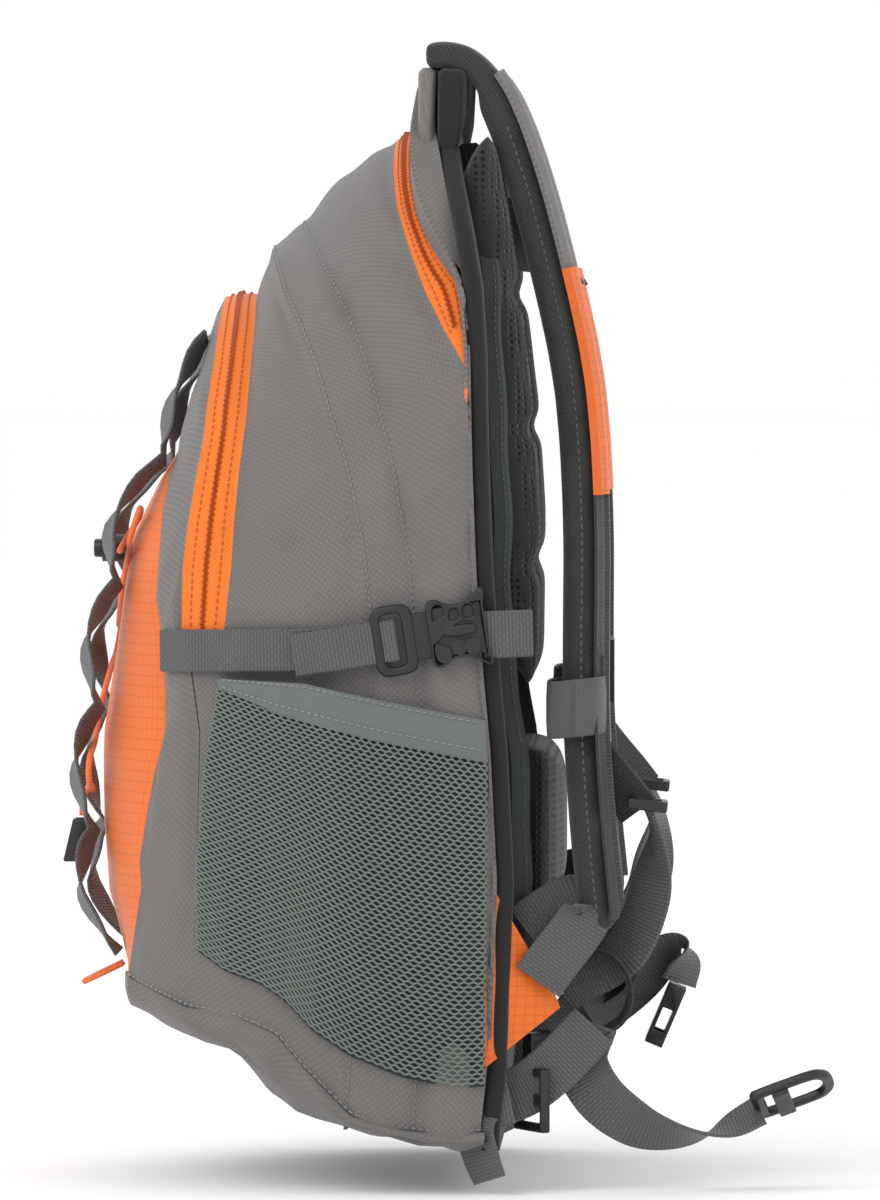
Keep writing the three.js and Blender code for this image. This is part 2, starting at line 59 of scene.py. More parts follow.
WING_APART_MM = 139
WEBBING = 0.0018
STRAP_WIDTH = 0.020
BELT_WIDTH = 0.025
CORD_DIAMETER = 0.003
SIDES = (("right", 1), ("left", -1))


def metres(points):
    """Pattern millimetres to metres in the frame."""
    p = np.asarray(points, float).reshape(-1, 3)
    return (p - (0, LUMBAR_FACE_MM, LUMBAR_HEIGHT_MM)) / 1000


def spot(x, y, z):
    return Vector(metres([(x, y, z)])[0])


# ---------------------------------------------------------------- camera and elastic cords
CAMERA_AZIMUTH = math.radians(91.5)
CAMERA_ELEVATION = math.radians(1.5)
CAMERA_TARGET = Vector((0, -0.0590, 0.107))
CAMERA_DISTANCE = 5


def add_camera():
    azimuth, elevation = CAMERA_AZIMUTH, CAMERA_ELEVATION
    away = Vector((math.cos(elevation) * math.sin(azimuth), -math.cos(elevation) * math.cos(azimuth),
                   math.sin(elevation)))
    data = bpy.data.cameras.new("camera")
    data.sensor_fit = "VERTICAL"
    data.sensor_height = 24
    data.lens = 208
    data.clip_end = 50
    camera = bpy.data.objects.new("camera", data)
    camera.location = CAMERA_TARGET + away * CAMERA_DISTANCE
    camera.rotation_euler = away.to_track_quat("Z", "Y").to_euler()
    bpy.context.scene.collection.objects.link(camera)
    bpy.context.scene.camera = camera


BUNGEE_ROUTE = [
    (-0.014, -0.2115, 0.132), (0.002, -0.2115, 0.132), (0.022, -0.2115, 0.132), (0.036, -0.2021, 0.147),
    (0.060, -0.2000, 0.152), (0.064, -0.2023, 0.145), (0.060, -0.2049, 0.137), (0.036, -0.2065, 0.132),
    (0.000, -0.2118, 0.113), (-0.036, -0.2155, 0.096), (-0.060, -0.2162, 0.092), (-0.064, -0.2172, 0.086),
    (-0.060, -0.2185, 0.079), (-0.036, -0.2192, 0.074), (0.000, -0.2220, 0.057), (0.036, -0.2232, 0.040),
    (0.060, -0.2237, 0.035), (0.064, -0.2243, 0.028), (0.060, -0.2241, 0.021), (0.036, -0.2240, 0.017),
    (0.008, -0.2270, 0.018), (-0.002, -0.2308, 0.012), (-0.002, -0.2315, 0.003)]
TOOL_LOOP_ROUTE = [
    (0.020, -0.2100, -0.066), (0.021, -0.2225, -0.072), (0.027, -0.2285, -0.075),
    (0.033, -0.2225, -0.072), (0.034, -0.2100, -0.066)]


def smooth_path(points, per_span=8):
    """A curve through points, close enough together to be drawn or measured."""
    p = np.asarray(points, float)
    p = np.vstack([2 * p[0] - p[1], p, 2 * p[-1] - p[-2]])
    out = []
    for i in range(1, len(p) - 2):
        for t in np.linspace(0, 1, per_span, endpoint=False):
            out.append(0.5 * (2 * p[i] + (p[i + 1] - p[i - 1]) * t
                              + (2 * p[i - 1] - 5 * p[i] + 4 * p[i + 1] - p[i + 2]) * t ** 2
                              + (3 * p[i] - p[i - 1] - 3 * p[i + 1] + p[i + 2]) * t ** 3))
    out.append(p[-2])
    return np.array(out)


# ---------------------------------------------------------------- meshes
def new_piece(name, vertices, faces, material, uvs=None):
    mesh = bpy.data.meshes.new(name)
    mesh.from_pydata([tuple(v) for v in vertices], [], faces)
    if uvs is not None:
        layer = mesh.uv_layers.new(name="UVMap")
        loops = np.zeros(len(mesh.loops), int)
        mesh.loops.foreach_get("vertex_index", loops)
        layer.data.foreach_set("uv", np.asarray(uvs, float)[loops].ravel())
    mesh.materials.append(material)
    piece = bpy.data.objects.new(name, mesh)
    bpy.context.scene.collection.objects.link(piece)
    return piece


def choose(piece):
    bpy.ops.object.select_all(action="DESELECT")
    piece.select_set(True)
    bpy.context.view_layer.objects.active = piece


def finish_with(piece, kind, **settings):
    """Adds a modifier and applies it."""
    choose(piece)
    modifier = piece.modifiers.new(kind.title(), kind)
    for name, value in settings.items():
        setattr(modifier, name, value)
    bpy.ops.object.modifier_apply(modifier=modifier.name)
    return piece


def smooth_shading(piece, degrees=50):
    choose(piece)
    bpy.ops.object.shade_smooth_by_angle(angle=math.radians(degrees))
    return piece


def grid_faces(rows, columns, closed=False):
    """Quads of a grid of points, and closed joins its last column to its first."""
    faces = []
    for i in range(rows - 1):
        for j in range(columns if closed else columns - 1):
            k = (j + 1) % columns
            faces.append((i * columns + j, i * columns + k, (i + 1) * columns + k, (i + 1) * columns + j))
    return faces


def tidy(piece, distance=0.0001):
    """Merges doubles, drops faces with no area and turns the rest outwards."""
    mesh = bmesh.new()
    mesh.from_mesh(piece.data)
    bmesh.ops.remove_doubles(mesh, verts=mesh.verts, dist=distance)
    bmesh.ops.dissolve_degenerate(mesh, edges=mesh.edges, dist=distance)
    bmesh.ops.recalc_face_normals(mesh, faces=mesh.faces)
    mesh.to_mesh(piece.data)
    mesh.free()
    return piece


def facing(piece, centre):
    """Turns an open surface's faces away from a point."""
    mesh = bmesh.new()
    mesh.from_mesh(piece.data)
    score = sum((f.calc_center_median() - centre).dot(f.normal) * f.calc_area() for f in mesh.faces)
    if score < 0:
        bmesh.ops.reverse_faces(mesh, faces=mesh.faces)
    mesh.to_mesh(piece.data)
    mesh.free()
    return piece


def frames_along(path, across):
    """Unit directions along a path, across it and out of it."""
    along = np.gradient(path, axis=0)
    along /= np.linalg.norm(along, axis=1, keepdims=True)
    across = np.broadcast_to(np.asarray(across, float), path.shape)
    out = np.cross(along, across)
    out /= np.linalg.norm(out, axis=1, keepdims=True)
    return along, np.cross(out, along), out


def webbing_strip(name, path, across, width, material, thickness=WEBBING, curl=0.0):
    """A flat strip of webbing along a path, with rounded edges. Its UVs are metres across and along."""
    path = np.asarray(path, float)
    _, side, out = frames_along(path, across)
    half, thick = width / 2, thickness / 2
    edge = thick * 0.9
    section = [(-half + edge, thick), (0, thick), (half - edge, thick), (half, 0), (half - edge, -thick),
               (0, -thick), (-half + edge, -thick), (-half, 0)]
    run = np.concatenate([[0], np.cumsum(np.linalg.norm(np.diff(path, axis=0), axis=1))])
    points, uvs = [], []
    for i, place in enumerate(path):
        for u, w in section:
            cup = curl * (1 - (u / half) ** 2)
            points.append(place + side[i] * u + out[i] * (w + cup))
            uvs.append((u, run[i]))
    count = len(section)
    faces = grid_faces(len(path), count, closed=True)
    faces += [tuple(range(count)), tuple((len(path) - 1) * count + j for j in range(count))[::-1]]
    return smooth_shading(tidy(new_piece(name, points, faces, material, uvs)), 40)


def round_tube(name, path, radius, material, sides=10):
    """A closed round tube along a path."""
    path = np.asarray(path, float)
    along = np.gradient(path, axis=0)
    along /= np.linalg.norm(along, axis=1, keepdims=True)
    across = np.cross(along[0], (0.3, 0.2, 0.93))
    points, uvs = [], []
    run = 0.0
    for i, place in enumerate(path):
        across -= along[i] * np.dot(across, along[i])
        across /= np.linalg.norm(across)
        out = np.cross(along[i], across)
        run += 0 if i == 0 else float(np.linalg.norm(place - path[i - 1]))
        for j in range(sides):
            a = 2 * math.pi * j / sides
            points.append(place + radius * (math.cos(a) * across + math.sin(a) * out))
            uvs.append((j / sides * 2 * math.pi * radius, run))
    faces = grid_faces(len(path), sides, closed=True)
    faces += [tuple(range(sides)), tuple((len(path) - 1) * sides + j for j in range(sides))[::-1]]
    return smooth_shading(tidy(new_piece(name, points, faces, material, uvs), 1e-6), 60)


# ---------------------------------------------------------------- materials
def linear(colour):
    """An sRGB hex colour as linear RGBA."""
    parts = [int(colour[i:i + 2], 16) / 255 for i in (1, 3, 5)]
    return tuple(c / 12.92 if c <= 0.04045 else ((c + 0.055) / 1.055) ** 2.4 for c in parts) + (1.0,)


def add(tree, kind, inputs=(), **settings):
    """A node of a kind, with its settings, and its inputs given as values or as links from sockets."""
    node = tree.nodes.new(kind)
    for name, value in settings.items():
        setattr(node, name, value)
    for key, value in dict(inputs).items():
        if isinstance(value, bpy.types.NodeSocket):
            tree.links.new(value, node.inputs[key])
        else:
            node.inputs[key].default_value = value
    return node


def start_material(name, colour, roughness, **sockets):
    """A material with one shader, and its values that are the same all over set on the shader itself."""
    material = bpy.data.materials.new(name)
    material.use_nodes = True
    tree = material.node_tree
    tree.nodes.clear()
    shader = add(tree, "ShaderNodeBsdfPrincipled",
                 {"Base Color": linear(colour), "Roughness": roughness, **sockets})
    add(tree, "ShaderNodeOutputMaterial", {"Surface": shader.outputs[0]})
    material.diffuse_color = linear(colour)
    return material, tree, shader


def maths(tree, operation, a, b=0.0):
    return add(tree, "ShaderNodeMath", {0: a, 1: b}, operation=operation).outputs[0]


def blend_colours(tree, share, first, second):
    node = add(tree, "ShaderNodeMix", {0: share, 6: first, 7: second}, data_type="RGBA")
    return node.outputs[2]


def surface_places(tree, uv, scale):
    """Coordinates in threads: UV metres or Object metres times the threads per metre."""
    coordinates = add(tree, "ShaderNodeTexCoord")
    source = coordinates.outputs["UV" if uv else "Object"]
    return add(tree, "ShaderNodeMapping", {"Vector": source, "Scale": (scale, scale, scale)}).outputs[0]


def basket_weave(tree, places):
    """Over-and-under threads: their height, and which set of threads is on top."""
    over = add(tree, "ShaderNodeTexChecker", {"Vector": places, "Scale": 1.0}).outputs["Fac"]
    axes = add(tree, "ShaderNodeSeparateXYZ", {0: places})
    across = maths(tree, "ABSOLUTE", maths(tree, "SINE", maths(tree, "MULTIPLY", axes.outputs[0], math.pi)))
    along = maths(tree, "ABSOLUTE", maths(tree, "SINE", maths(tree, "MULTIPLY", axes.outputs[1], math.pi)))
    first = maths(tree, "MULTIPLY", across, over)
    second = maths(tree, "MULTIPLY", along, maths(tree, "SUBTRACT", 1.0, over))
    return maths(tree, "ADD", first, second), over


def cloth(name, light, dark, thread_mm, roughness, bump=0.25, uv=True, contrast=0.5):
    """Woven cloth: two tones of thread, soft mottling, painted shade where the threads dip, and a bump as
    high as the threads are round.
    """
    material, tree, shader = start_material(name, light, roughness, **{
        "Sheen Weight": 0.15, "Sheen Roughness": 0.5, "Specular IOR Level": 0.3})
    places = surface_places(tree, uv, 1000 / thread_mm)
    height, over = basket_weave(tree, places)
    mottling = add(tree, "ShaderNodeTexNoise", {
        "Vector": surface_places(tree, False, 1), "Scale": 28.0, "Detail": 4.0,
        "Roughness": 0.6}).outputs["Fac"]
    grain = add(tree, "ShaderNodeTexNoise", {
        "Vector": places, "Scale": 0.9, "Detail": 2.0}).outputs["Fac"]
    share = maths(tree, "MULTIPLY", over, contrast)
    # Painted shade: the colour is darker where the weave is low, between the threads.
    share = maths(tree, "ADD", share, maths(tree, "MULTIPLY", maths(tree, "SUBTRACT", 1.0, height), 0.3))
    share = maths(tree, "ADD", share, maths(tree, "MULTIPLY", maths(tree, "SUBTRACT", mottling, 0.5), 0.25))
    share = maths(tree, "ADD", share, maths(tree, "MULTIPLY", maths(tree, "SUBTRACT", grain, 0.5), 0.35))
    share = add(tree, "ShaderNodeClamp", {0: share}).outputs[0]
    tree.links.new(blend_colours(tree, share, linear(light), linear(dark)), shader.inputs["Base Color"])
    relief = add(tree, "ShaderNodeBump", {
        "Height": height, "Strength": bump, "Distance": thread_mm / 4000}).outputs[0]
    tree.links.new(relief, shader.inputs["Normal"])
    return material


def ripstop(name, light, dark, grid_mm=5.0):
    """Thin nylon with a raised grid of thicker threads every few millimetres, slightly puckered."""
    material, tree, shader = start_material(name, light, 0.55, **{
        "Sheen Weight": 0.1, "Specular IOR Level": 0.4})
    places = surface_places(tree, True, 1000 / grid_mm)
    axes = add(tree, "ShaderNodeSeparateXYZ", {0: places})
    lines = []
    for axis in (0, 1):
        part = maths(tree, "FRACT", axes.outputs[axis])
        lines.append(maths(tree, "LESS_THAN", part, 0.16))
    line = maths(tree, "MAXIMUM", *lines)
    threads, _ = basket_weave(tree, surface_places(tree, True, 1000 / 1.1))
    pucker = add(tree, "ShaderNodeTexNoise", {"Vector": places, "Scale": 0.8, "Detail": 2.0}).outputs["Fac"]
    mottling = add(tree, "ShaderNodeTexNoise", {
        "Vector": surface_places(tree, False, 1), "Scale": 30.0, "Detail": 3.0}).outputs["Fac"]
    share = maths(tree, "MULTIPLY", line, 0.4)
    share = maths(tree, "ADD", share, maths(tree, "MULTIPLY", maths(tree, "SUBTRACT", mottling, 0.4), 0.5))
    share = add(tree, "ShaderNodeClamp", {0: share}).outputs[0]
    tree.links.new(blend_colours(tree, share, linear(light), linear(dark)), shader.inputs["Base Color"])
    height = maths(tree, "ADD", maths(tree, "MULTIPLY", threads, 0.15), maths(tree, "MULTIPLY", line, 0.5))
    height = maths(tree, "ADD", height, maths(tree, "MULTIPLY", pucker, 1.2))
    relief = add(tree, "ShaderNodeBump", {"Height": height, "Strength": 0.4, "Distance": 0.0006}).outputs[0]
    tree.links.new(relief, shader.inputs["Normal"])
    return material


def webbing_cloth(name, light, dark):
    """Nylon webbing: rows of ribs across it every 1.7 mm."""
    material, tree, shader = start_material(name, light, 0.6, **{
        "Sheen Weight": 0.15, "Specular IOR Level": 0.35})
    places = surface_places(tree, True, 1000 / 1.7)
    height, over = basket_weave(tree, places)
    axes = add(tree, "ShaderNodeSeparateXYZ", {0: places})
    ribs = maths(tree, "ABSOLUTE", maths(tree, "SINE", maths(tree, "MULTIPLY", axes.outputs[1], math.pi)))
    wear = add(tree, "ShaderNodeTexNoise", {
        "Vector": surface_places(tree, False, 1), "Scale": 40.0, "Detail": 3.0}).outputs["Fac"]
    # Painted highlight and shade: the colour is lighter on the ribs and darker between them.
    share = maths(tree, "ADD", maths(tree, "MULTIPLY", over, 0.22),
                  maths(tree, "MULTIPLY", maths(tree, "SUBTRACT", 1.0, ribs), 0.6))
    share = maths(tree, "ADD", share, maths(tree, "MULTIPLY", maths(tree, "SUBTRACT", wear, 0.5), 0.4))
    share = add(tree, "ShaderNodeClamp", {0: share}).outputs[0]
    tree.links.new(blend_colours(tree, share, linear(light), linear(dark)), shader.inputs["Base Color"])
    total = maths(tree, "ADD", height, ribs)
    relief = add(tree, "ShaderNodeBump", {"Height": total, "Strength": 0.5, "Distance": 0.0004}).outputs[0]
    tree.links.new(relief, shader.inputs["Normal"])
    return material


def spacer_mesh(name, light, dark, hole_mm):
    """Knitted spacer mesh over foam: staggered round holes through which the dark foam shows."""
    material, tree, shader = start_material(name, light, 0.85, **{
        "Sheen Weight": 0.25, "Specular IOR Level": 0.2})
    places = surface_places(tree, False, 1000 / hole_mm)
    spots = add(tree, "ShaderNodeTexVoronoi", {"Vector": places, "Scale": 1.0, "Randomness": 0.12},
                feature="F1").outputs["Distance"]
    hole = add(tree, "ShaderNodeMapRange", {0: spots, 1: 0.22, 2: 0.42, 3: 1.0, 4: 0.0}).outputs[0]
    tree.links.new(blend_colours(tree, hole, linear(light), linear(dark)), shader.inputs["Base Color"])
    height = maths(tree, "SUBTRACT", 1.0, hole)
    relief = add(tree, "ShaderNodeBump", {"Height": height, "Strength": 0.8, "Distance": 0.0012}).outputs[0]
    tree.links.new(relief, shader.inputs["Normal"])
    return material


def moulded(name, colour, roughness):
    """Moulded acetal with a fine spark-eroded texture, and a roughness that varies a little in patches."""
    material, tree, shader = start_material(name, colour, roughness, **{
        "Specular IOR Level": 0.5, "IOR": 1.48})
    places = surface_places(tree, False, 1000)
    grain = add(tree, "ShaderNodeTexNoise", {"Vector": places, "Scale": 2.2, "Detail": 3.0}).outputs["Fac"]
    patches = add(tree, "ShaderNodeTexNoise", {"Vector": places, "Scale": 0.08, "Detail": 2.0}).outputs["Fac"]
    rough = add(tree, "ShaderNodeMapRange", {
        0: patches, 1: 0.3, 2: 0.7, 3: roughness - 0.08, 4: roughness + 0.08}).outputs[0]
    tree.links.new(rough, shader.inputs["Roughness"])
    relief = add(tree, "ShaderNodeBump", {"Height": grain, "Strength": 0.25, "Distance": 0.0003}).outputs[0]
    tree.links.new(relief, shader.inputs["Normal"])
    return material


def elastic_braid(name, light, dark):
    """Braided cover of an elastic cord: slanting pairs of yarn about a millimetre apart."""
    material, tree, shader = start_material(name, light, 0.6, **{"Sheen Weight": 0.2})
    places = surface_places(tree, True, 1000 / 1.2)
    axes = add(tree, "ShaderNodeSeparateXYZ", {0: places})
    slants = []
    for way in ("ADD", "SUBTRACT"):
        slant = maths(tree, way, axes.outputs[1], axes.outputs[0])
        slants.append(maths(tree, "ABSOLUTE", maths(tree, "SINE", maths(tree, "MULTIPLY", slant, math.pi))))
    height = maths(tree, "MAXIMUM", *slants)
    # Painted shade: the colour goes dark in the grooves between the yarns, where the braid is low.
    share = maths(tree, "MULTIPLY", maths(tree, "SUBTRACT", 1.0, height), 1.6)
    share = add(tree, "ShaderNodeClamp", {0: share}).outputs[0]
    tree.links.new(blend_colours(tree, share, linear(light), linear(dark)), shader.inputs["Base Color"])
    relief = add(tree, "ShaderNodeBump", {"Height": height, "Strength": 0.6, "Distance": 0.0003}).outputs[0]
    tree.links.new(relief, shader.inputs["Normal"])
    return material


def thread(name, colour):
    """Twisted polyester sewing thread, matt, with a fine uneven bump."""
    material, tree, shader = start_material(name, colour, 0.7, **{"Sheen Weight": 0.2})
    noise = add(tree, "ShaderNodeTexNoise", {
        "Vector": surface_places(tree, False, 1000), "Scale": 1.5, "Detail": 2.0}).outputs["Fac"]
    relief = add(tree, "ShaderNodeBump", {"Height": noise, "Strength": 0.4, "Distance": 0.0002}).outputs[0]
    tree.links.new(relief, shader.inputs["Normal"])
    return material


# Coated polyester pack cloth, two greys of yarn in a basket weave that reads as fine dots.
GREY_PACK_CLOTH = cloth("woven_grey_pack_cloth", "#726f6d", "#504d4c", 1.5, 0.72, bump=0.3, contrast=0.3)
# The same cloth in orange, with less contrast between its yarns.
ORANGE_PACK_CLOTH = cloth("woven_orange_pack_cloth", "#ec7a26", "#c8580f", 1.1, 0.65, bump=0.25, contrast=0.3)
# Thin orange nylon with a raised grid.
ORANGE_RIPSTOP = ripstop("ripstop_orange_nylon", "#e06a18", "#bd4f0a")
# Plain nylon on the back panel: nearly black, matt, its threads just visible.
BLACK_NYLON = cloth("woven_black_nylon", "#212020", "#121111", 1.0, 0.8, bump=0.3, uv=False)
# Woven nylon webbing: ribs across it catch the light, with a painted highlight on them and painted shade
# between them, and its colour is a bluish grey.
GREY_WEBBING = webbing_cloth("nylon_webbing_grey", "#5a5a5d", "#363538")
# The same webbing in a darker grey, on the tabs and the haul loop. At each wing it is painted shade: the part
# of the webbing folded behind is drawn darker.
DARK_WEBBING = webbing_cloth("nylon_webbing_dark", "#434446", "#28282a")
# Knitted spacer mesh over foam: rows of dark round holes in a dark matt knit.
PAD_MESH = spacer_mesh("spacer_mesh_black", "#2e3030", "#0c0d0d", 3.3)
# Brushed polyester on the shoulder straps: a dark grey-green with hardly any shine.
STRAP_CLOTH = cloth("woven_strap_cloth", "#343735", "#232624", 1.2, 0.8, bump=0.3, uv=False)
# Woven binding tape, matt, a little lighter than the straps.
BINDING_TAPE = cloth("binding_tape_grey_green", "#3f4442", "#2b2f2d", 0.9, 0.8, uv=False)
# The side pockets' hem: a smooth grey-green tape with a fine weave.
HEM_TAPE = cloth("hem_tape_grey_green", "#686d6a", "#525754", 1.0, 0.7, uv=True, contrast=0.3)
# Knitted polyester net: each yarn is round and slightly fuzzy.
NET_YARN = thread("knitted_net_yarn", "#68706a")
# A dark sheet just under the net, painted shade: it darkens the grey side cloth inside the pocket, where
# shade falls.
NET_SHADE_SHEET = cloth("pocket_shade_sheet_dark", "#373c39", "#242827", 1.0, 0.9, uv=True)
# Polyester sewing threads, matt, in the colour of the cloth that they hold.
GREY_THREAD = thread("sewing_thread_grey", "#7f8280")
DARK_THREAD = thread("sewing_thread_dark", "#4c504e")
ORANGE_THREAD = thread("sewing_thread_orange", "#c65a17")
# Extruded nylon zip coil, a darker orange than its tape, with a low shine.
ZIP_COIL = moulded("nylon_zip_coil_orange", "#a8450f", 0.45)
# Injection-moulded acetal, spark-eroded: black with a soft, uneven shine.
BLACK_ACETAL = moulded("moulded_acetal_black", "#1c1c1d", 0.42)
# Braided polyester over rubber: fine slanting yarns in bright orange, with painted shade in the grooves
# between them.
ORANGE_ELASTIC = elastic_braid("braided_elastic_orange", "#f0762c", "#b44a10")
# Extruded polyethylene sheet: milky white and faintly glossy.
FRAME_BOARD = moulded("polyethylene_sheet", "#c9c9c4", 0.5)


# ---------------------------------------------------------------- the bag's seams, in pattern millimetres
# Each seam runs from its foot at the base, up one side, over the bag and down the other. Seen from
# the side it is a line of y and z. Its half width and the height of its arch give its x.
class Seam:
    def __init__(self, line, half_width, arch, facing_front=0.0, fullness=2.4):
        self.line = sorted(line, key=lambda p: p[1])
        self.half_width = half_width
        self.arch = arch
        self.facing_front = facing_front
        self.fullness = fullness

    def y_at(self, z):
        ys, zs = zip(*self.line)
        return np.interp(z, zs, ys)


FLANK_ROWS = 56
ARCH_ROWS = 44
TUCK_MM = 7  # seam allowance tucked under the base
LEAST_CLOTH_MM = 3.0  # two seams closer than this run as one, with no cloth between them
LEAST_STITCHED_MM = 7  # a strip of cloth narrower than this has no rows of stitches
BACK_LINE = [(-0.9, 14), (2.4, 44), (5.6, 131), (2.4, 193), (-1.4, 235), (-4.2, 277), (-6.1, 329),
             (-7, 378), (-8.9, 409), (-13.2, 434), (-18.3, 459), (-23.5, 485), (-25.4, 508.5)]
ZIP_REAR = [(-0.9, 14), (2.4, 44), (5.6, 131), (2.4, 193), (-1.4, 235), (-4.2, 277), (-6.1, 329),
            (-7, 378), (-9.5, 409), (-12, 413), (-16.5, 417), (-22.6, 426), (-30, 442), (-33.5, 459),
            (-34.4, 474), (-34.3, 484.5)]
ZIP_FRONT = [(-0.9, 14), (2.4, 44), (5.6, 131), (2.4, 193), (-1.4, 235), (-4.2, 277), (-6.1, 329),
             (-7, 366), (-9, 373.6), (-17.4, 388), (-26.8, 406.5), (-34.3, 426), (-40.9, 446.5),
             (-43.2, 463), (-43.7, 476), (-43, 480.3)]
YOKE_EDGE = [(-0.9, 14), (2.4, 44), (5.6, 131), (2.4, 193), (-1.4, 235), (-4.2, 277), (-6.1, 329),
             (-7, 378), (-9.6, 412), (-15, 424), (-23, 438), (-29.5, 452), (-33.5, 470), (-33.6, 485),
             (-31.5, 503), (-29.6, 509.5)]
REAR_SEAM = [(-30, 14.3), (-26, 80), (-26, 150), (-28.2, 216), (-32.4, 280), (-35.7, 299), (-40.4, 328.5),
             (-45.6, 348), (-51.2, 371), (-59.2, 390), (-69.1, 411), (-80.8, 432.4), (-87.5, 441.5)]
FLAP_SEAM = [(-66, 26), (-60, 100), (-54, 180), (-53.1, 254), (-57.3, 291), (-62, 313.5), (-67.2, 334),
             (-72.4, 348), (-79, 371), (-87, 390), (-95, 406.6), (-99.6, 419), (-103.4, 428)]
FLAP_TUCK = [(-69, 27), (-63, 100), (-57, 180), (-56, 254), (-60, 291), (-65, 313.5), (-70, 334),
             (-75, 348), (-82, 369), (-90, 388), (-97.6, 404), (-102, 414), (-105, 421.5)]
FRONT_ZIP_REAR = [(-138, 70), (-135, 130), (-133, 200), (-137, 230), (-121.7, 247), (-118.4, 277),
                  (-117, 299), (-114.7, 324), (-111.9, 348), (-110.5, 373), (-109.7, 393), (-110.6, 406.5)]
FRONT_ZIP_FRONT = [(-138, 70), (-135, 130), (-133.4, 200), (-138, 230), (-142, 247), (-141.5, 277),
                   (-138.7, 299), (-135.4, 319), (-132, 338), (-130.7, 353), (-128.3, 373),
                   (-126.9, 393), (-126, 405)]
PANEL_EDGE = [(-168.7, 84), (-162, 126), (-163, 138), (-159.8, 157), (-155.6, 179), (-150.4, 198),
              (-150.4, 218), (-151.8, 243), (-155, 262), (-154.2, 277), (-152.8, 303.6), (-150.5, 320),
              (-144.3, 337)]
FRONT_BULGE = [(-171, 84), (-177, 105), (-182, 120), (-185.5, 152), (-184, 197), (-178.5, 243), (-169.5, 291),
               (-158, 317), (-146, 337)]
BASE_SEAM = [(-174, 82), (-168.7, 83), (-156, 77), (-140, 70.5), (-116, 66.7), (-96.8, 59), (-85, 45),
             (-73, 33), (-61, 21), (-37, 14.6), (-15.5, 12.7), (2, 14)]
BASE_BOTTOM = [(-174, 74), (-169, 66), (-159, 62), (-152, 58), (-133, 49.5), (-118, 46.5), (-109, 35.5),
               (-102, 26), (-89, 16.8), (-66, 11.5), (-31, 6.5), (-10.8, 1), (2, 2)]

SEAMS = {
    "back": Seam(BACK_LINE, 144, 150),
    "yoke_edge": Seam(YOKE_EDGE, 146, 150),
    "zip_rear": Seam(ZIP_REAR, 146, 143),
    "zip_front": Seam(ZIP_FRONT, 147, 142, 0.02),
    "rear_seam": Seam(REAR_SEAM, 147, 125, 0.05),
    "flap": Seam(FLAP_SEAM, 145, 118, 0.1),
    "flap_tuck": Seam(FLAP_TUCK, 142, 115, 0.1),
    "front_zip_rear": Seam(FRONT_ZIP_REAR, 121, 118, 0.1, 2.1),
    "front_zip_front": Seam(FRONT_ZIP_FRONT, 117, 117, 0.3, 2.1),
    "panel_edge": Seam(PANEL_EDGE, 96, 100, 0.6, 2.2),
}


def half_width_at(y):
    """The side panel's distance from the middle at a depth, in the lower half of the bag."""
    return np.interp(y, [-190, -172, -162, -150, -139, -128, -112, -95, -70, 30],
                     [56, 84, 96, 108, 117, 122, 131, 138, 145, 145])


def seam_ring(seam, rows=FLANK_ROWS, arch_rows=ARCH_ROWS):
    """Points and outward directions of a seam from its right foot over to its left foot."""
    foot, crest = seam.line[0][1], seam.line[-1][1]
    shoulder = crest - seam.arch
    flank = np.linspace(foot - TUCK_MM, shoulder, rows, endpoint=False)
    turn = np.linspace(0, math.pi / 2, arch_rows)
    power = 2 / seam.fullness
    z = np.concatenate([flank, shoulder + seam.arch * np.sin(turn) ** power])
    x = np.concatenate([np.full(rows, 1.0), np.abs(np.cos(turn)) ** power]) * seam.half_width
    y = seam.y_at(z)
    low = np.clip((shoulder - z) / 45, 0, 1)
    x = x * (1 - low) + low * np.minimum(half_width_at(y), seam.half_width + 8)
    x = x - 3.5 * np.clip((foot - z) / TUCK_MM, 0, 1)
    steep = np.concatenate([np.zeros(rows), turn])
    out = np.stack([np.cos(steep), np.zeros_like(z), np.sin(steep)], axis=1)
    out = out * (1 - seam.facing_front) + np.array([0, -1, 0]) * seam.facing_front
    right = np.stack([x, y, z], axis=1)
    flip = np.array([-1, 1, 1])
    points = np.vstack([right, (right * flip)[-2::-1]])
    out = np.vstack([out, (out * flip)[-2::-1]])
    return points, out / np.linalg.norm(out, axis=1, keepdims=True)


def creases(p):
    """How far slack cloth stands in or out, in millimetres: long soft folds and short pulls."""
    x, y, z = p[..., 0], p[..., 1], p[..., 2]
    side = np.where(x > 0, 1.0, 0.6)
    folds = 1.5 * np.sin(0.045 * z + 0.03 * y + 0.9) * np.sin(0.021 * z - 0.055 * y)
    folds += 0.9 * np.sin(0.11 * z - 0.05 * y + side) * np.sin(0.05 * y + 0.018 * z + 1.3)
    pulls = 0.45 * np.sin(0.21 * z + 0.12 * y + 0.02 * x) * np.sin(0.09 * y - 0.05 * z + 2.1)
    return (folds + pulls) * (1 + 0.9 * np.clip((z - 265) / 60, 0, 1))


def loft(first, second, columns, puff, slack=1.0):
    """A grid in millimetres from one seam to the next, puffed out between them, with slack folds."""
    a, out_a = seam_ring(SEAMS[first])
    b, out_b = seam_ring(SEAMS[second])
    t = np.linspace(0, 1, columns)[None, :, None]
    points = a[:, None] * (1 - t) + b[:, None] * t
    out = out_a[:, None] * (1 - t) + out_b[:, None] * t
    out /= np.linalg.norm(out, axis=2, keepdims=True)
    gap = np.linalg.norm(a - b, axis=1)[:, None, None]
    points = np.where(gap < LEAST_CLOTH_MM, a[:, None], points)
    room = np.clip(gap / 30, 0, 1)
    rise = puff * room * (4 * t * (1 - t)) ** 0.7
    inside = np.minimum(1, np.minimum(t, 1 - t) * gap / 9)
    dip = -1.1 * room * (1 - inside) * (np.minimum(t, 1 - t) > 0)
    rise = rise + dip + slack * creases(points)[..., None] * inside * room
    return points + out * rise, out


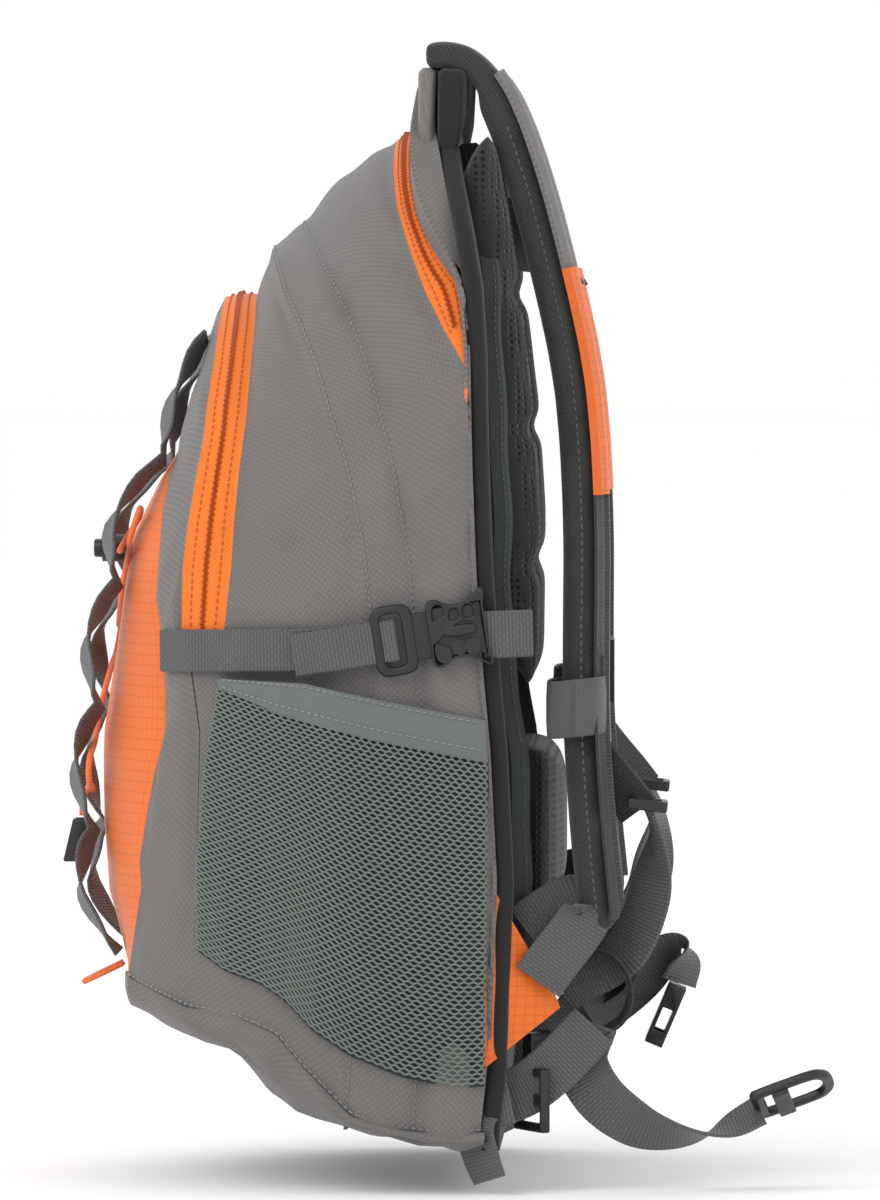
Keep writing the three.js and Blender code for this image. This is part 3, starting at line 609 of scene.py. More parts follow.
def panel_from(name, grid, material, nodes, solid=0.0014, centre=None):
    """A sewn panel from a grid of points in millimetres, with UVs in metres along and across it."""
    points = metres(grid).reshape(grid.shape)
    rows, columns = grid.shape[:2]
    along = np.zeros((rows, columns))
    along[1:] = np.cumsum(np.linalg.norm(np.diff(points, axis=0), axis=2), axis=0)
    across = np.zeros((rows, columns))
    across[:, 1:] = np.cumsum(np.linalg.norm(np.diff(points, axis=1), axis=2), axis=1)
    middle = along[:, columns // 2][:, None] + 0 * along
    uvs = np.stack([across, middle], axis=2).reshape(-1, 2)
    piece = new_piece(name, points.reshape(-1, 3), grid_faces(rows, columns), material, uvs)
    tidy(piece, 0.00005)
    facing(piece, centre or spot(0, -80, 200))
    finish_with(piece, "SOLIDIFY", thickness=solid, offset=-1.0)
    smooth_shading(piece, 60)
    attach(piece, "pack")
    if nodes:
        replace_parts(piece, *nodes)
    return piece


def stitch_row(name, line, out, material, pitch=0.0034, length=0.0022, thick=0.0007, body="pack"):
    """A row of lockstitches along a line of points in metres. Each thread dips at both ends."""
    line, out = np.asarray(line, float), np.asarray(out, float)
    run = np.concatenate([[0], np.cumsum(np.linalg.norm(np.diff(line, axis=0), axis=1))])
    places, faces = [], []
    for start in np.arange(pitch, run[-1] - pitch, pitch):
        ends = [np.array([np.interp(s, run, line[:, k]) for k in range(3)]) for s in (start, start + length)]
        up = np.array([np.interp(start, run, out[:, k]) for k in range(3)])
        along = (ends[1] - ends[0]) / length
        side = np.cross(along, up)
        side /= np.linalg.norm(side)
        first = len(places)
        for share, lift in ((0.0, -0.5), (0.25, 0.5), (0.75, 0.5), (1.0, -0.5)):
            centre = ends[0] * (1 - share) + ends[1] * share + up * thick * lift * 0.6
            for u, w in ((-0.5, 0), (0, 0.55), (0.5, 0), (0, -0.3)):
                places.append(centre + side * u * thick + up * w * thick)
        for ring in range(3):
            faces += [tuple(first + ring * 4 + k for k in (j, (j + 1) % 4, (j + 1) % 4 + 4, j + 4))
                      for j in range(4)]
        faces += [(first + 3, first + 2, first + 1, first), tuple(first + 12 + j for j in range(4))]
    piece = new_piece(name, places, faces, material)
    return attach(smooth_shading(tidy(piece, 1e-6), 80), body)


def row_on(grid, out, column, lift=0.4):
    """A line on a panel's grid at a column, lifted off it, in metres, and its outward directions."""
    low = int(column)
    share = column - low
    line = grid[:, low] * (1 - share) + grid[:, min(low + 1, grid.shape[1] - 1)] * share
    return metres(line + out[:, low] * lift), out[:, low]


# ---------------------------------------------------------------- the bag's panels
def sewn(name, first, second, columns, puff, material, nodes, rows_of_stitches, slack=1.0):
    """A panel between two seams with rows of stitching, each given by its column and thread."""
    grid, out = loft(first, second, columns, puff, slack)
    panel_from(name, grid, material, nodes)
    for column, yarn in rows_of_stitches:
        line, up = row_on(grid, out, column % columns)
        wide = np.linalg.norm(grid[:, 0] - grid[:, -1], axis=1) > LEAST_STITCHED_MM
        line, up = line[wide], up[wide]
        stitch_row(f"{name}_stitches_{column % columns}", line, up, yarn)
    return grid, out


def add_bag_panels():
    sewn("yoke_side", "back", "yoke_edge", 8, 1.5, GREY_PACK_CLOTH, ["top_yoke"], [])
    sewn("yoke_face", "yoke_edge", "zip_rear", 9, 1.0, GREY_PACK_CLOTH, [], [])
    sewn("main_zip_strip", "zip_rear", "zip_front", 15, 1.2, ORANGE_PACK_CLOTH, ["main_zip_gusset"],
         [(3, ORANGE_THREAD), (11, ORANGE_THREAD)], slack=0.25)
    sewn("main_side_cloth", "zip_front", "rear_seam", 22, 3.5, GREY_PACK_CLOTH,
         ["main_side_panel_right", "main_side_panel_left"], [])
    sewn("flap_cloth", "rear_seam", "flap", 16, 2.6, GREY_PACK_CLOTH, ["main_top_panel"],
         [(1, GREY_THREAD), (14, GREY_THREAD)])
    sewn("flap_edge", "flap", "flap_tuck", 4, 0.2, GREY_PACK_CLOTH, [], [], slack=0.0)
    sewn("front_side_cloth", "flap_tuck", "front_zip_rear", 22, 3.0, GREY_PACK_CLOTH,
         ["front_side_panel_right", "front_side_panel_left", "front_top_panel"], [])
    sewn("front_zip_strip", "front_zip_rear", "front_zip_front", 15, 1.2, ORANGE_PACK_CLOTH,
         ["front_zip_gusset"], [(3, ORANGE_THREAD), (11, ORANGE_THREAD)], slack=0.2)
    sewn("pocket_rim_cloth", "front_zip_front", "panel_edge", 16, 2.5, GREY_PACK_CLOTH,
         ["front_pocket_rim"], [])


def add_front_cloth():
    """The orange panel: an arch-topped patch that crowns forward between the pocket's edges."""
    edge, _ = seam_ring(SEAMS["panel_edge"])
    right = edge[:len(edge) // 2 + 1]
    crown_y = np.interp(right[:, 2], [p[1] for p in FRONT_BULGE], [p[0] for p in FRONT_BULGE])
    turn = np.linspace(-1, 1, 45)
    x = right[:, :1] * -turn[None, :]
    lift = np.maximum(np.cos(turn * math.pi / 2), 0) ** 0.75
    y = right[:, 1:2] + (crown_y - right[:, 1])[:, None] * lift[None, :]
    z = np.repeat(right[:, 2:], len(turn), axis=1)
    grid = np.stack([x, y, z], axis=2)
    wave = 0.8 * np.sin(0.07 * z + 0.05 * x) * np.sin(0.045 * x + 0.6) * lift[None, :]
    grid[..., 1] -= wave
    panel_from("front_panel_cloth", grid, ORANGE_RIPSTOP, ["front_panel"])


def add_base_cloth():
    """The base: a trough from the seam down one side, under the bag and up the other."""
    ys = np.concatenate([np.linspace(-173.5, -150, 16), np.linspace(-147, 1, 62)])
    seam_z = np.interp(ys, *zip(*BASE_SEAM))
    low_z = np.interp(ys, *zip(*BASE_BOTTOM))
    turn = np.linspace(0, math.pi, 61)
    rows = []
    for y, top, bottom in zip(ys, seam_z, low_z):
        half = half_width_at(y) if y > -169 else half_width_at(-169) * math.sqrt(max(0.0, (y + 174) / 5.2))
        deep = abs(np.cos(turn)) ** (2 / 3.4)
        x = np.sign(np.cos(turn)) * deep * (half + 0.8)
        z = top - (top - bottom) * np.sin(turn) ** (2 / 3.0)
        rows.append(np.stack([x, np.full_like(x, y), z], axis=1))
    grid = np.array(rows)
    x, y, z = grid[..., 0], grid[..., 1], grid[..., 2]
    share = np.clip((seam_z[:, None] - z) / np.maximum(seam_z - low_z, 1)[:, None], 0, 1)
    folds = 1.6 * np.sin(0.16 * y + 0.05 * np.abs(x)) + 1.1 * np.sin(0.31 * y - 0.09 * np.abs(x) + 0.7)
    sag = 4.5 * np.sin(math.pi * share) ** 0.8
    towards_side = np.abs(np.cos(turn))[None, :] ** 0.3
    grid[..., 0] += np.sign(x) * (sag + folds * share * (1 - share) * 4) * towards_side
    grid[..., 2] += 0.9 * folds * share * (1 - share) * 2
    panel_from("base_cloth", grid, GREY_PACK_CLOTH, ["base_panel"], centre=spot(0, -70, 120))
    seam = grid[:, 0] + np.array([0.6, 0, 1.5])
    for side in (1, -1):
        line = seam * np.array([side, 1, 1])
        out = np.tile([side, 0, 0], (len(line), 1))
        stitch_row(f"base_stitches_{'right' if side > 0 else 'left'}", metres(line), out, GREY_THREAD)


def add_divider():
    """The lining wall between the two compartments, inside the bag."""
    seam = SEAMS["flap_tuck"]
    points, _ = seam_ring(seam, 20, 14)
    half = points[:len(points) // 2 + 1]
    grid = np.stack([half * np.array([share * 0.93, 1, 1]) + np.array([0, 6, -6])
                     for share in np.linspace(-1, 1, 21)], axis=1)
    grid[..., 1] += 4 * np.cos(grid[..., 0] / 60)
    panel_from("divider_lining", grid, GREY_PACK_CLOTH, ["divider_panel"], centre=spot(0, 60, 200))


# ---------------------------------------------------------------- back
def add_back_cloth():
    """The black back panel: a padded slab with rounded edges that carries the pads and the harness."""
    zs = np.concatenate([np.linspace(5, 330, 60), 330 + 178 * np.sin(np.linspace(0.03, math.pi / 2, 40))])
    section = [(math.sin(turn), -math.cos(turn)) for turn in np.linspace(0, math.pi, 9)]
    thick = 4.5  # half the slab's thickness, in millimetres
    rows = []
    for z in zs:
        back = np.interp(z, [p[1] for p in BACK_LINE], [p[0] for p in BACK_LINE])
        above = max(z - BACK_ARCH_FOOT_MM, 0)
        half = min(BACK_HALF_MM, math.sqrt(max(BACK_ARCH_MM ** 2 - above ** 2, 0)))
        row = [(half - 4 + 4 * s, back + thick + thick * c, z) for s, c in section]
        row += [(x * (half - 4), back + 2 * thick, z) for x in np.linspace(0.96, -0.96, 31)]
        row += [(-x, y, z) for x, y, z in row[:9][::-1]]
        row += [(x * (half - 4), back, z) for x in np.linspace(-0.96, 0.96, 31)]
        rows.append(row)
    grid = np.array(rows)
    count = grid.shape[1]
    faces = grid_faces(len(rows), count, closed=True)
    faces += [tuple(range(count)), tuple((len(rows) - 1) * count + j for j in range(count))[::-1]]
    piece = tidy(new_piece("back_cloth", metres(grid), faces, BLACK_NYLON))
    smooth_shading(piece, 60)
    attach(piece, "pack")
    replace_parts(piece, "back_panel")


PADDING_VOXEL = 0.005
PADDING_PRESSURE = 4.0
SETTLING_FRAMES = 20


def stuffed(name, node, material, cap, body):
    """A copy of one of the part's pads, swollen by cloth simulation by no more than a cap."""
    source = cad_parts[node]
    mesh = source.data.copy()
    piece = bpy.data.objects.new(name, mesh)
    bpy.context.scene.collection.objects.link(piece)
    mesh.materials.clear()
    mesh.materials.append(material)
    tidy(piece, 0.00005)
    finish_with(piece, "REMESH", mode="VOXEL", voxel_size=PADDING_VOXEL)
    rest = np.array([v.co for v in piece.data.vertices])
    cloth_modifier = piece.modifiers.new("Cloth", "CLOTH")
    settings = cloth_modifier.settings
    settings.use_pressure = True
    settings.uniform_pressure_force = PADDING_PRESSURE
    settings.effector_weights.gravity = 0
    settings.mass = 0.3
    settings.quality = 4
    cloth_modifier.point_cache.frame_end = SETTLING_FRAMES
    for number in range(1, SETTLING_FRAMES + 1):
        bpy.context.scene.frame_set(number)
    shaped = piece.evaluated_get(bpy.context.evaluated_depsgraph_get())
    moved = np.array([v.co for v in shaped.data.vertices]) - rest
    piece.modifiers.clear()
    bpy.context.scene.frame_set(1)
    far = np.linalg.norm(moved, axis=1, keepdims=True)
    moved *= np.minimum(1, cap / np.maximum(far, 1e-9))
    piece.data.vertices.foreach_set("co", (rest + moved).ravel())
    finish_with(piece, "SMOOTH", factor=0.5, iterations=3)
    finish_with(piece, "SUBSURF", levels=1, render_levels=1)
    smooth_shading(piece, 180)
    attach(piece, body)
    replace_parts(piece, node)
    return piece


def reshaped(piece, change):
    """Moves a mesh's points, given and returned as an array in metres."""
    points = np.array([v.co for v in piece.data.vertices])
    piece.data.vertices.foreach_set("co", change(points).ravel())
    piece.data.update()
    return piece


def crowned(points):
    """The lumbar pad's face falls away towards its edges, as foam under a sewn cover does."""
    x, z = points[:, 0] * 1000, points[:, 2] * 1000
    y = points[:, 1] * 1000 + LUMBAR_FACE_MM
    edge = np.maximum((np.abs(x) / 97) ** 3, (np.abs(z) / 43) ** 4)
    points[:, 1] -= 11 * np.clip(edge, 0, 1) * np.clip((y - 14) / 18, 0, 1) / 1000
    return points


def quilted(points):
    """Sewn channels across a back pad every 64 mm and a slight crown between them."""
    z = points[:, 2] * 1000 + LUMBAR_HEIGHT_MM
    y = points[:, 1] * 1000 + LUMBAR_FACE_MM
    dip = 3.2 * np.exp(-((((z - 246) % 64) - 32) / 6.0) ** 2)
    face = np.clip((y - 8) / 8, 0, 1)
    points[:, 1] -= dip * face / 1000
    return points


def add_back_padding():
    for side, _ in SIDES:
        reshaped(stuffed(f"back_padding_{side}", f"back_pad_{side}", PAD_MESH, 0.004, "pack"), quilted)
    reshaped(stuffed("lumbar_padding", "lumbar_pad", PAD_MESH, 0.002, "pack"), crowned)


def add_binding():
    """Binding tape along the pads' outer edges, a folded strip that stands off the black cloth."""
    for side, way in SIDES:
        zs = np.linspace(60, 476, 60)
        back = np.interp(zs, [p[1] for p in BACK_LINE], [p[0] for p in BACK_LINE])
        stand = 12.5 + 1.0 * np.sin(zs * 0.045) + 0.6 * np.sin(zs * 0.11)
        x = np.where(zs < 330, 121.0, np.sqrt(np.maximum(150.0 ** 2 - (zs - 345) ** 2, 0)) * 0.82)
        x = np.minimum(x, 121.0)
        path = metres(np.stack([x * way, back + stand, zs], axis=1))
        tape = webbing_strip(f"back_binding_{side}", path, (0, 1, 0), 0.010, BINDING_TAPE, 0.0035)
        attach(tape, "pack")
        line = path + np.array([way * 0.0019, 0.002, 0])
        stitch_row(f"back_binding_stitches_{side}", line, np.tile([way, 0, 0], (len(zs), 1)), DARK_THREAD)


# ---------------------------------------------------------------- zips
def add_zip_teeth(name, node, seams, start, end, pitch=0.0014):
    """The closed coil: two rows of small teeth that mesh along the middle of the zip's strip."""
    grid, out = loft(*seams, 15, 1.2, 0.2)
    line, up = row_on(grid, out, 7, 0.9)
    line, up = line[start:end], up[start:end]
    run = np.concatenate([[0], np.cumsum(np.linalg.norm(np.diff(line, axis=0), axis=1))])
    places, faces = [], []
    for number, s in enumerate(np.arange(0, run[-1], pitch)):
        middle = np.array([np.interp(s, run, line[:, k]) for k in range(3)])
        along = np.array([np.interp(min(s + 0.001, run[-1]), run, line[:, k]) for k in range(3)])
        along -= np.array([np.interp(max(s - 0.001, 0), run, line[:, k]) for k in range(3)])
        along /= np.linalg.norm(along)
        rise = np.array([np.interp(s, run, up[:, k]) for k in range(3)])
        side = np.cross(along, rise)
        side /= np.linalg.norm(side)
        middle = middle + side * (0.0003 if number % 2 else -0.0003)
        first = len(places)
        for u in (-0.0010, 0.0010):
            for a, w in ((-0.0006, -0.0004), (0, 0.0004), (0.0006, -0.0004)):
                places.append(middle + side * u + along * a + rise * w)
        faces += [(first, first + 1, first + 4, first + 3), (first + 1, first + 2, first + 5, first + 4),
                  (first + 2, first, first + 3, first + 5), (first + 2, first + 1, first),
                  (first + 3, first + 4, first + 5)]
    piece = smooth_shading(tidy(new_piece(name, places, faces, ZIP_COIL), 1e-6), 40)
    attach(piece, "pack")
    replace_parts(piece, node)


# ---------------------------------------------------------------- moulded parts
def refined(node, body, round_mm):
    """A copy of one of the part's mouldings, its flat faces whole, its edges rounded and its finish on."""
    piece = bpy.data.objects.new(f"{node}_moulding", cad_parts[node].data.copy())
    bpy.context.scene.collection.objects.link(piece)
    piece.data.materials.clear()
    piece.data.materials.append(BLACK_ACETAL)
    tidy(piece, 0.00002)
    mesh = bmesh.new()
    mesh.from_mesh(piece.data)
    bmesh.ops.dissolve_limit(mesh, angle_limit=math.radians(2), verts=mesh.verts, edges=mesh.edges)
    mesh.to_mesh(piece.data)
    mesh.free()
    finish_with(piece, "BEVEL", width=round_mm / 1000, segments=2, limit_method="ANGLE",
                angle_limit=math.radians(30), harden_normals=False)
    smooth_shading(piece, 40)
    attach(piece, body)
    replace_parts(piece, node)
    return piece


def along_frame(origin, along, across):
    """A matrix that puts x along a strap, y across it and z out of it, at a point."""
    out = Vector(along).cross(Vector(across))
    matrix = Matrix((Vector(along), Vector(across), out)).transposed().to_4x4()
    matrix.translation = origin
    return matrix


def cut_plate(name, outlines, thick_mm, round_mm, place):
    """A moulded plate from an outline and its holes, in millimetres, with its edges rounded."""
    curve = bpy.data.curves.new(name, "CURVE")
    curve.dimensions = "2D"
    curve.fill_mode = "BOTH"
    curve.extrude = (thick_mm / 2 - round_mm) / 1000
    curve.bevel_depth = round_mm / 1000
    curve.bevel_resolution = 2
    curve.offset = -round_mm / 1000
    for outline in outlines:
        corners = list(outline)
        around = smooth_path(corners[-2:] + corners + corners[:2], 5)
        around = around[10:-10]
        spline = curve.splines.new("POLY")
        spline.points.add(len(around) - 1)
        for point, (x, y) in zip(spline.points, around / 1000):
            point.co = (x, y, 0, 1)
        spline.use_cyclic_u = True
    piece = bpy.data.objects.new(name, curve)
    bpy.context.scene.collection.objects.link(piece)
    choose(piece)
    bpy.ops.object.convert(target="MESH")
    piece = bpy.context.active_object
    piece.data.transform(place)
    piece.data.materials.clear()
    piece.data.materials.append(BLACK_ACETAL)
    return smooth_shading(tidy(piece, 1e-6), 40)


def both_ways(half_outline):
    """An outline's upper half and its mirror image below, as one ring."""
    return tuple(half_outline) + tuple((x, -y) for x, y in reversed(half_outline))


# The compression buckles' outlines, in millimetres along the strap from the socket's mouth and across it.
BUCKLE_RISE = math.radians(9)
BUCKLE_MOUTH = spot(151.9, -23, 247)
BUCKLE_LOOP = both_ways([(-28, 6), (-28, 12), (-25, 16), (-19, 16.6), (-12, 16), (-8.5, 12.5), (-8, 5)])
BUCKLE_LOOP_SLOT = both_ways([(-23.6, 5), (-23.6, 10), (-22, 12), (-18, 12.4), (-15, 12), (-13.8, 10),
                              (-13.6, 5)])
BUCKLE_TONGUE = both_ways([(-10, 4), (-10, 10), (-6, 11), (0, 10.6), (3, 9), (3, 4)])
BUCKLE_SHELL = both_ways([(-1.5, 5), (-1.5, 13), (0.5, 15.6), (4, 15.4), (8, 13), (13, 12.4), (18, 13.4),
                          (22, 16.6), (25.6, 18.4), (26.4, 15), (25.4, 10), (25.4, 4)])
BUCKLE_CORE = both_ways([(0, 4), (0, 11), (6, 12), (13, 11), (19, 11.6), (24, 12), (24, 4)])
BUCKLE_CLASP = both_ways([(5.5, 0.8), (6.5, 2.0), (12, 2.6), (19, 2.2), (20.5, 0.8)])
BUCKLE_WINDOWS = tuple(tuple((x, y * way) for x, y in window) for way in (1, -1) for window in (
    [(1.5, 6), (1.6, 11.5), (4, 13.2), (6.4, 11.6), (6.2, 8)],
    [(9, 5.6), (9.4, 9.4), (12.6, 10.4), (13.6, 7.6), (12, 5)],
    [(15.6, 5.6), (16, 10.2), (18.6, 11.6), (20.6, 9), (19.4, 5.2)]))


def add_compression_straps():
    """Each side: a webbing sewn to the front, a doubled end through the plug, and the socket's stub."""
    for side, way in SIDES:
        flip = np.array([way, 1, 1])
        ys = np.concatenate([np.linspace(-152, -100, 14), np.linspace(-96, -74, 8)])
        low = [(half_width_at(y) + 3.6 + 1.2 * math.sin(0.05 * y), y, 238 + 0.02 * (y + 150)) for y in ys]
        path = metres(np.array(low) * flip)
        strap = webbing_strip(f"compression_webbing_{side}", path, (0, 0, way), STRAP_WIDTH, GREY_WEBBING)
        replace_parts(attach(strap, "pack"), f"compression_strap_{side}")
        rise = np.array([math.cos(BUCKLE_RISE), math.sin(BUCKLE_RISE)])
        over = []
        for s in np.linspace(-66, -17, 26):
            y, z = np.array([-23.0, 247.0]) + rise * s
            stand = 3.0 * np.clip((s + 66) / 20, 0, 1)
            over.append((max(half_width_at(y) + 5.6 + 1.2 * math.sin(0.05 * y), 148.6) + stand * 0.9, y, z))
        path = metres(np.array(over) * flip)
        strap = webbing_strip(f"buckle_webbing_{side}", path, (0, -0.16, 0.99), STRAP_WIDTH, GREY_WEBBING)
        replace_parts(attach(strap, f"plug_{side}"), f"buckle_strap_{side}")
        stub = []
        for s in np.linspace(24, 47, 12):
            y, z = np.array([-23.0, 246.0]) + rise * s * np.array([1, 0.2])
            stub.append((151.5 - 0.012 * (s - 24) ** 2, y, z))
        path = metres(np.array(stub) * flip)
        strap = webbing_strip(f"socket_webbing_{side}", path, (0, 0, way), STRAP_WIDTH + 0.002, GREY_WEBBING)
        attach(strap, "pack")
        add_buckle(side, way)


def add_buckle(side, way):
    """A side-release buckle: a plug with a loop for its webbing, and a socket with windows over a core."""
    along = Vector((0, math.cos(BUCKLE_RISE), math.sin(BUCKLE_RISE)))
    across = Vector((0, -math.sin(BUCKLE_RISE), math.cos(BUCKLE_RISE)))
    mouth = Vector((BUCKLE_MOUTH.x * way, BUCKLE_MOUTH.y, BUCKLE_MOUTH.z))
    place = along_frame(mouth, along, across)
    for name, outlines, thick, round_mm, body, node in (
            ("plug", (BUCKLE_LOOP, BUCKLE_LOOP_SLOT), 5.0, 1.6, f"plug_{side}", f"buckle_plug_{side}"),
            ("tongue", (BUCKLE_TONGUE,), 3.6, 0.8, f"plug_{side}", None),
            ("shell", (BUCKLE_SHELL,) + BUCKLE_WINDOWS, 8.6, 1.0, "pack", f"buckle_socket_{side}"),
            ("core", (BUCKLE_CORE,), 5.4, 0.6, "pack", None),
            ("clasp", (BUCKLE_CLASP,), 9.4, 1.0, "pack", None)):
        piece = cut_plate(f"buckle_{name}_{side}", outlines, thick, round_mm, place)
        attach(piece, body)
        if node:
            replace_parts(piece, node)


def add_sliders():
    for node, body in (("main_zip_slider", "main_zip"), ("front_zip_slider", "front_zip")):
        refined(node, body, 0.5)
    for node, body in (("main_zip_pull", "main_pull"), ("front_zip_pull", "front_pull")):
        refined(node, body, 0.5)


# ---------------------------------------------------------------- netting side pockets
POCKET_TOP = [(-124, 222), (-94.5, 212.4), (-49.8, 201.2), (-16.5, 194.6), (2.4, 190.8)]
POCKET_HEM = [(-124.5, 225.5), (-83.2, 224), (-49.8, 216.7), (-27.7, 212.4), (1.5, 206.8)]
POCKET_FOOT = [(-134.4, 98.7), (-120.8, 89.3), (-104.3, 84.1), (-92, 76), (-79, 62.5), (-61, 50.8),
               (-37, 41.4), (-13, 36.2), (1, 37.1)]
NET_CELL = (4.0, 3.9)  # a mesh of the net, across and up
NET_WIDE_MM = 134
NET_HIGH_MM = 150


def along_line(line, share):
    """A point at a share of a line's length."""
    line = np.asarray(line, float)
    run = np.concatenate([[0], np.cumsum(np.linalg.norm(np.diff(line, axis=0), axis=1))])
    share = np.asarray(share) * run[-1]
    return np.stack([np.interp(share, run, line[:, 0]), np.interp(share, run, line[:, 1])], axis=-1)


def pocket_surface(u, v, stand=0.0):
    """A place on the net pocket: u from its front to its back edge, v from its foot to its hem."""
    u, v = np.broadcast_arrays(np.asarray(u, float), np.asarray(v, float))
    foot, top = along_line(POCKET_FOOT, u), along_line(POCKET_TOP, u)
    place = foot * (1 - v[..., None]) + top * v[..., None]
    lean = np.interp(v, [0, 0.3, 0.7, 1], [0, 3.5, 3.5, 0]) * (1 - u) ** 3
    y, z = place[..., 0] - lean, place[..., 1]
    edge = np.sin(np.clip(u, 0.001, 0.999) * math.pi) ** 0.5
    bulge = 5.0 + 6.8 * edge * np.clip(v * 4, 0, 1) ** 0.7 * (0.75 + 0.25 * v)
    folds = 1.8 * np.exp(-((u - 0.50 + 0.20 * (v - 0.6)) / 0.05) ** 2) * (1 - v) ** 0.2 * v
    folds += 1.6 * np.exp(-((u - 0.62 + 0.25 * (v - 0.3)) / 0.045) ** 2) * (1 - v) * 1.2
    wave = 0.8 * np.sin(9 * u + 4 * v) * np.sin(7 * v + 2 * u)
    x = half_width_at(y) + bulge + (folds + wave) * edge + stand
    return np.stack([x, y, z], axis=-1)


def add_net_pockets():
    columns = round(NET_WIDE_MM / NET_CELL[0] * 2)  # each mesh lies between two yarns
    steps = round(NET_HIGH_MM / NET_CELL[1])
    for side, way in SIDES:
        flip = np.array([way, 1, 1])
        us, vs = np.linspace(0, 1, 40), np.linspace(-0.01, 1, 44)
        grid = pocket_surface(us[None, :], vs[:, None], -2.4) * flip
        # Painted shade: a dark sheet just under the net, over the grey side cloth, stands in for the shade
        # inside the pocket.
        lining = panel_from(f"pocket_shade_sheet_{side}", grid, NET_SHADE_SHEET, [], solid=0.0008)
        places, faces = [], []
        for column in range(columns + 1):
            # Each yarn runs up the pocket in a zigzag and meets its neighbours at its corners.
            count = steps * 2
            share = np.arange(count * 2 + 1) / (count * 2)
            phase = np.arange(count * 2 + 1) % 4
            swing = np.where((phase == 0) | (phase == 3), -0.5, 0.5) * (1 if column % 2 else -1)
            u = np.clip((column + 0.98 * swing) / columns, 0, 1)
            centre = pocket_surface(u, share) * flip
            ahead = np.gradient(centre, axis=0)
            ahead /= np.linalg.norm(ahead, axis=1, keepdims=True)
            side_way = np.cross(ahead, (way, 0, 0))
            side_way /= np.linalg.norm(side_way, axis=1, keepdims=True)
            out = np.cross(side_way, ahead)
            first = len(places)
            for i in range(len(centre)):
                for a, b in ((0.52, 0), (0, 0.4), (-0.52, 0), (0, -0.4)):
                    places.append(centre[i] + side_way[i] * a + out[i] * b)
            for i in range(len(centre) - 1):
                faces += [(first + i * 4 + j, first + i * 4 + (j + 1) % 4, first + i * 4 + 4 + (j + 1) % 4,
                           first + i * 4 + 4 + j) for j in range(4)]
            last = first + (len(centre) - 1) * 4
            faces += [(first + 3, first + 2, first + 1, first), (last, last + 1, last + 2, last + 3)]
        net = tidy(new_piece(f"pocket_net_{side}", metres(places), faces, NET_YARN), 1e-6)
        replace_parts(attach(net, "pack"), f"mesh_pocket_{side}")
        hem = add_pocket_hem(side, flip)


def add_pocket_hem(side, flip):
    """A folded tape along the pocket's mouth, with two rows of stitches."""
    us = np.linspace(0, 1, 40)
    low, top = along_line(POCKET_TOP, us), along_line(POCKET_HEM, us)
    base = pocket_surface(us, np.ones_like(us))
    rows = []
    for share, stand in ((-0.25, 0.3), (-0.2, 1.1), (0.1, 1.4), (0.5, 1.6), (0.9, 1.4), (1.0, 0.6),
                         (0.97, -0.8), (0.5, -1.2), (-0.2, -0.9)):
        place = low * (1 - share) + top * share
        x = base[:, 0] + stand - 1.2 * max(share, 0)
        rows.append(np.stack([x, place[:, 0], place[:, 1]], axis=1) * flip)
    grid = np.stack(rows, axis=1)
    points = metres(grid).reshape(-1, 3)
    run = np.concatenate([[0], np.cumsum(np.linalg.norm(np.diff(grid[:, 0], axis=0), axis=1))]) / 1000
    uvs = [(j * 0.004, run[i]) for i in range(grid.shape[0]) for j in range(grid.shape[1])]
    count = grid.shape[1]
    faces = grid_faces(grid.shape[0], count, closed=True)
    faces += [tuple(range(count)), tuple((len(us) - 1) * count + j for j in range(count))[::-1]]
    hem = smooth_shading(tidy(new_piece(f"pocket_hem_{side}", points, faces, HEM_TAPE, uvs), 1e-6), 50)
    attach(hem, "pack")
    out = np.tile(np.array([1, 0, 0]) * flip, (len(us), 1))
    for number, row in ((1, 2), (2, 4)):
        line = metres(grid[:, row] + out * 0.3)
        stitch_row(f"pocket_hem_stitches_{side}_{number}", line, out, GREY_THREAD)
    return hem


# ---------------------------------------------------------------- wings, haul loop, front webbing, cords
def add_wings():
    """Orange triangles that tie the hip webbing to the bag's lower corners."""
    for side, way in SIDES:
        top, tip, foot = (4, 130), (37, 72), (0, 43)
        rows = []
        for s in np.linspace(0, 1, 16):
            a = np.array(top) * (1 - s) + np.array(foot) * s
            if s < 0.66:
                b = np.array(top) * (1 - s / 0.66) + np.array(tip) * s / 0.66
            else:
                b = np.array(tip) * (1 - (s - 0.66) / 0.34) + np.array(foot) * (s - 0.66) / 0.34
            line = []
            for t in np.linspace(0, 1, 14):
                y, z = a * (1 - t) + b * t
                x = 146 - 0.45 * max(y, 0) + 1.5 * math.sin(0.16 * z + 0.1 * y) * t
                line.append((x * way, y, z))
            rows.append(line)
        panel_from(f"wing_cloth_{side}", np.array(rows), ORANGE_RIPSTOP, [f"side_wing_{side}"], solid=0.0024,
                   centre=spot(0, 20, 80))


def add_haul_loop():
    route = smooth_path(metres([(-26, 9, 452), (-26, 9, 440), (-20, 12, 428), (0, 15, 417), (20, 12, 428),
                                (26, 9, 440), (26, 9, 452)]), 6)
    loop = webbing_strip("haul_loop_webbing", route, (0, 1, 0), STRAP_WIDTH, DARK_WEBBING, 0.0022, curl=0.001)
    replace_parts(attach(loop, "haul"), "haul_loop")


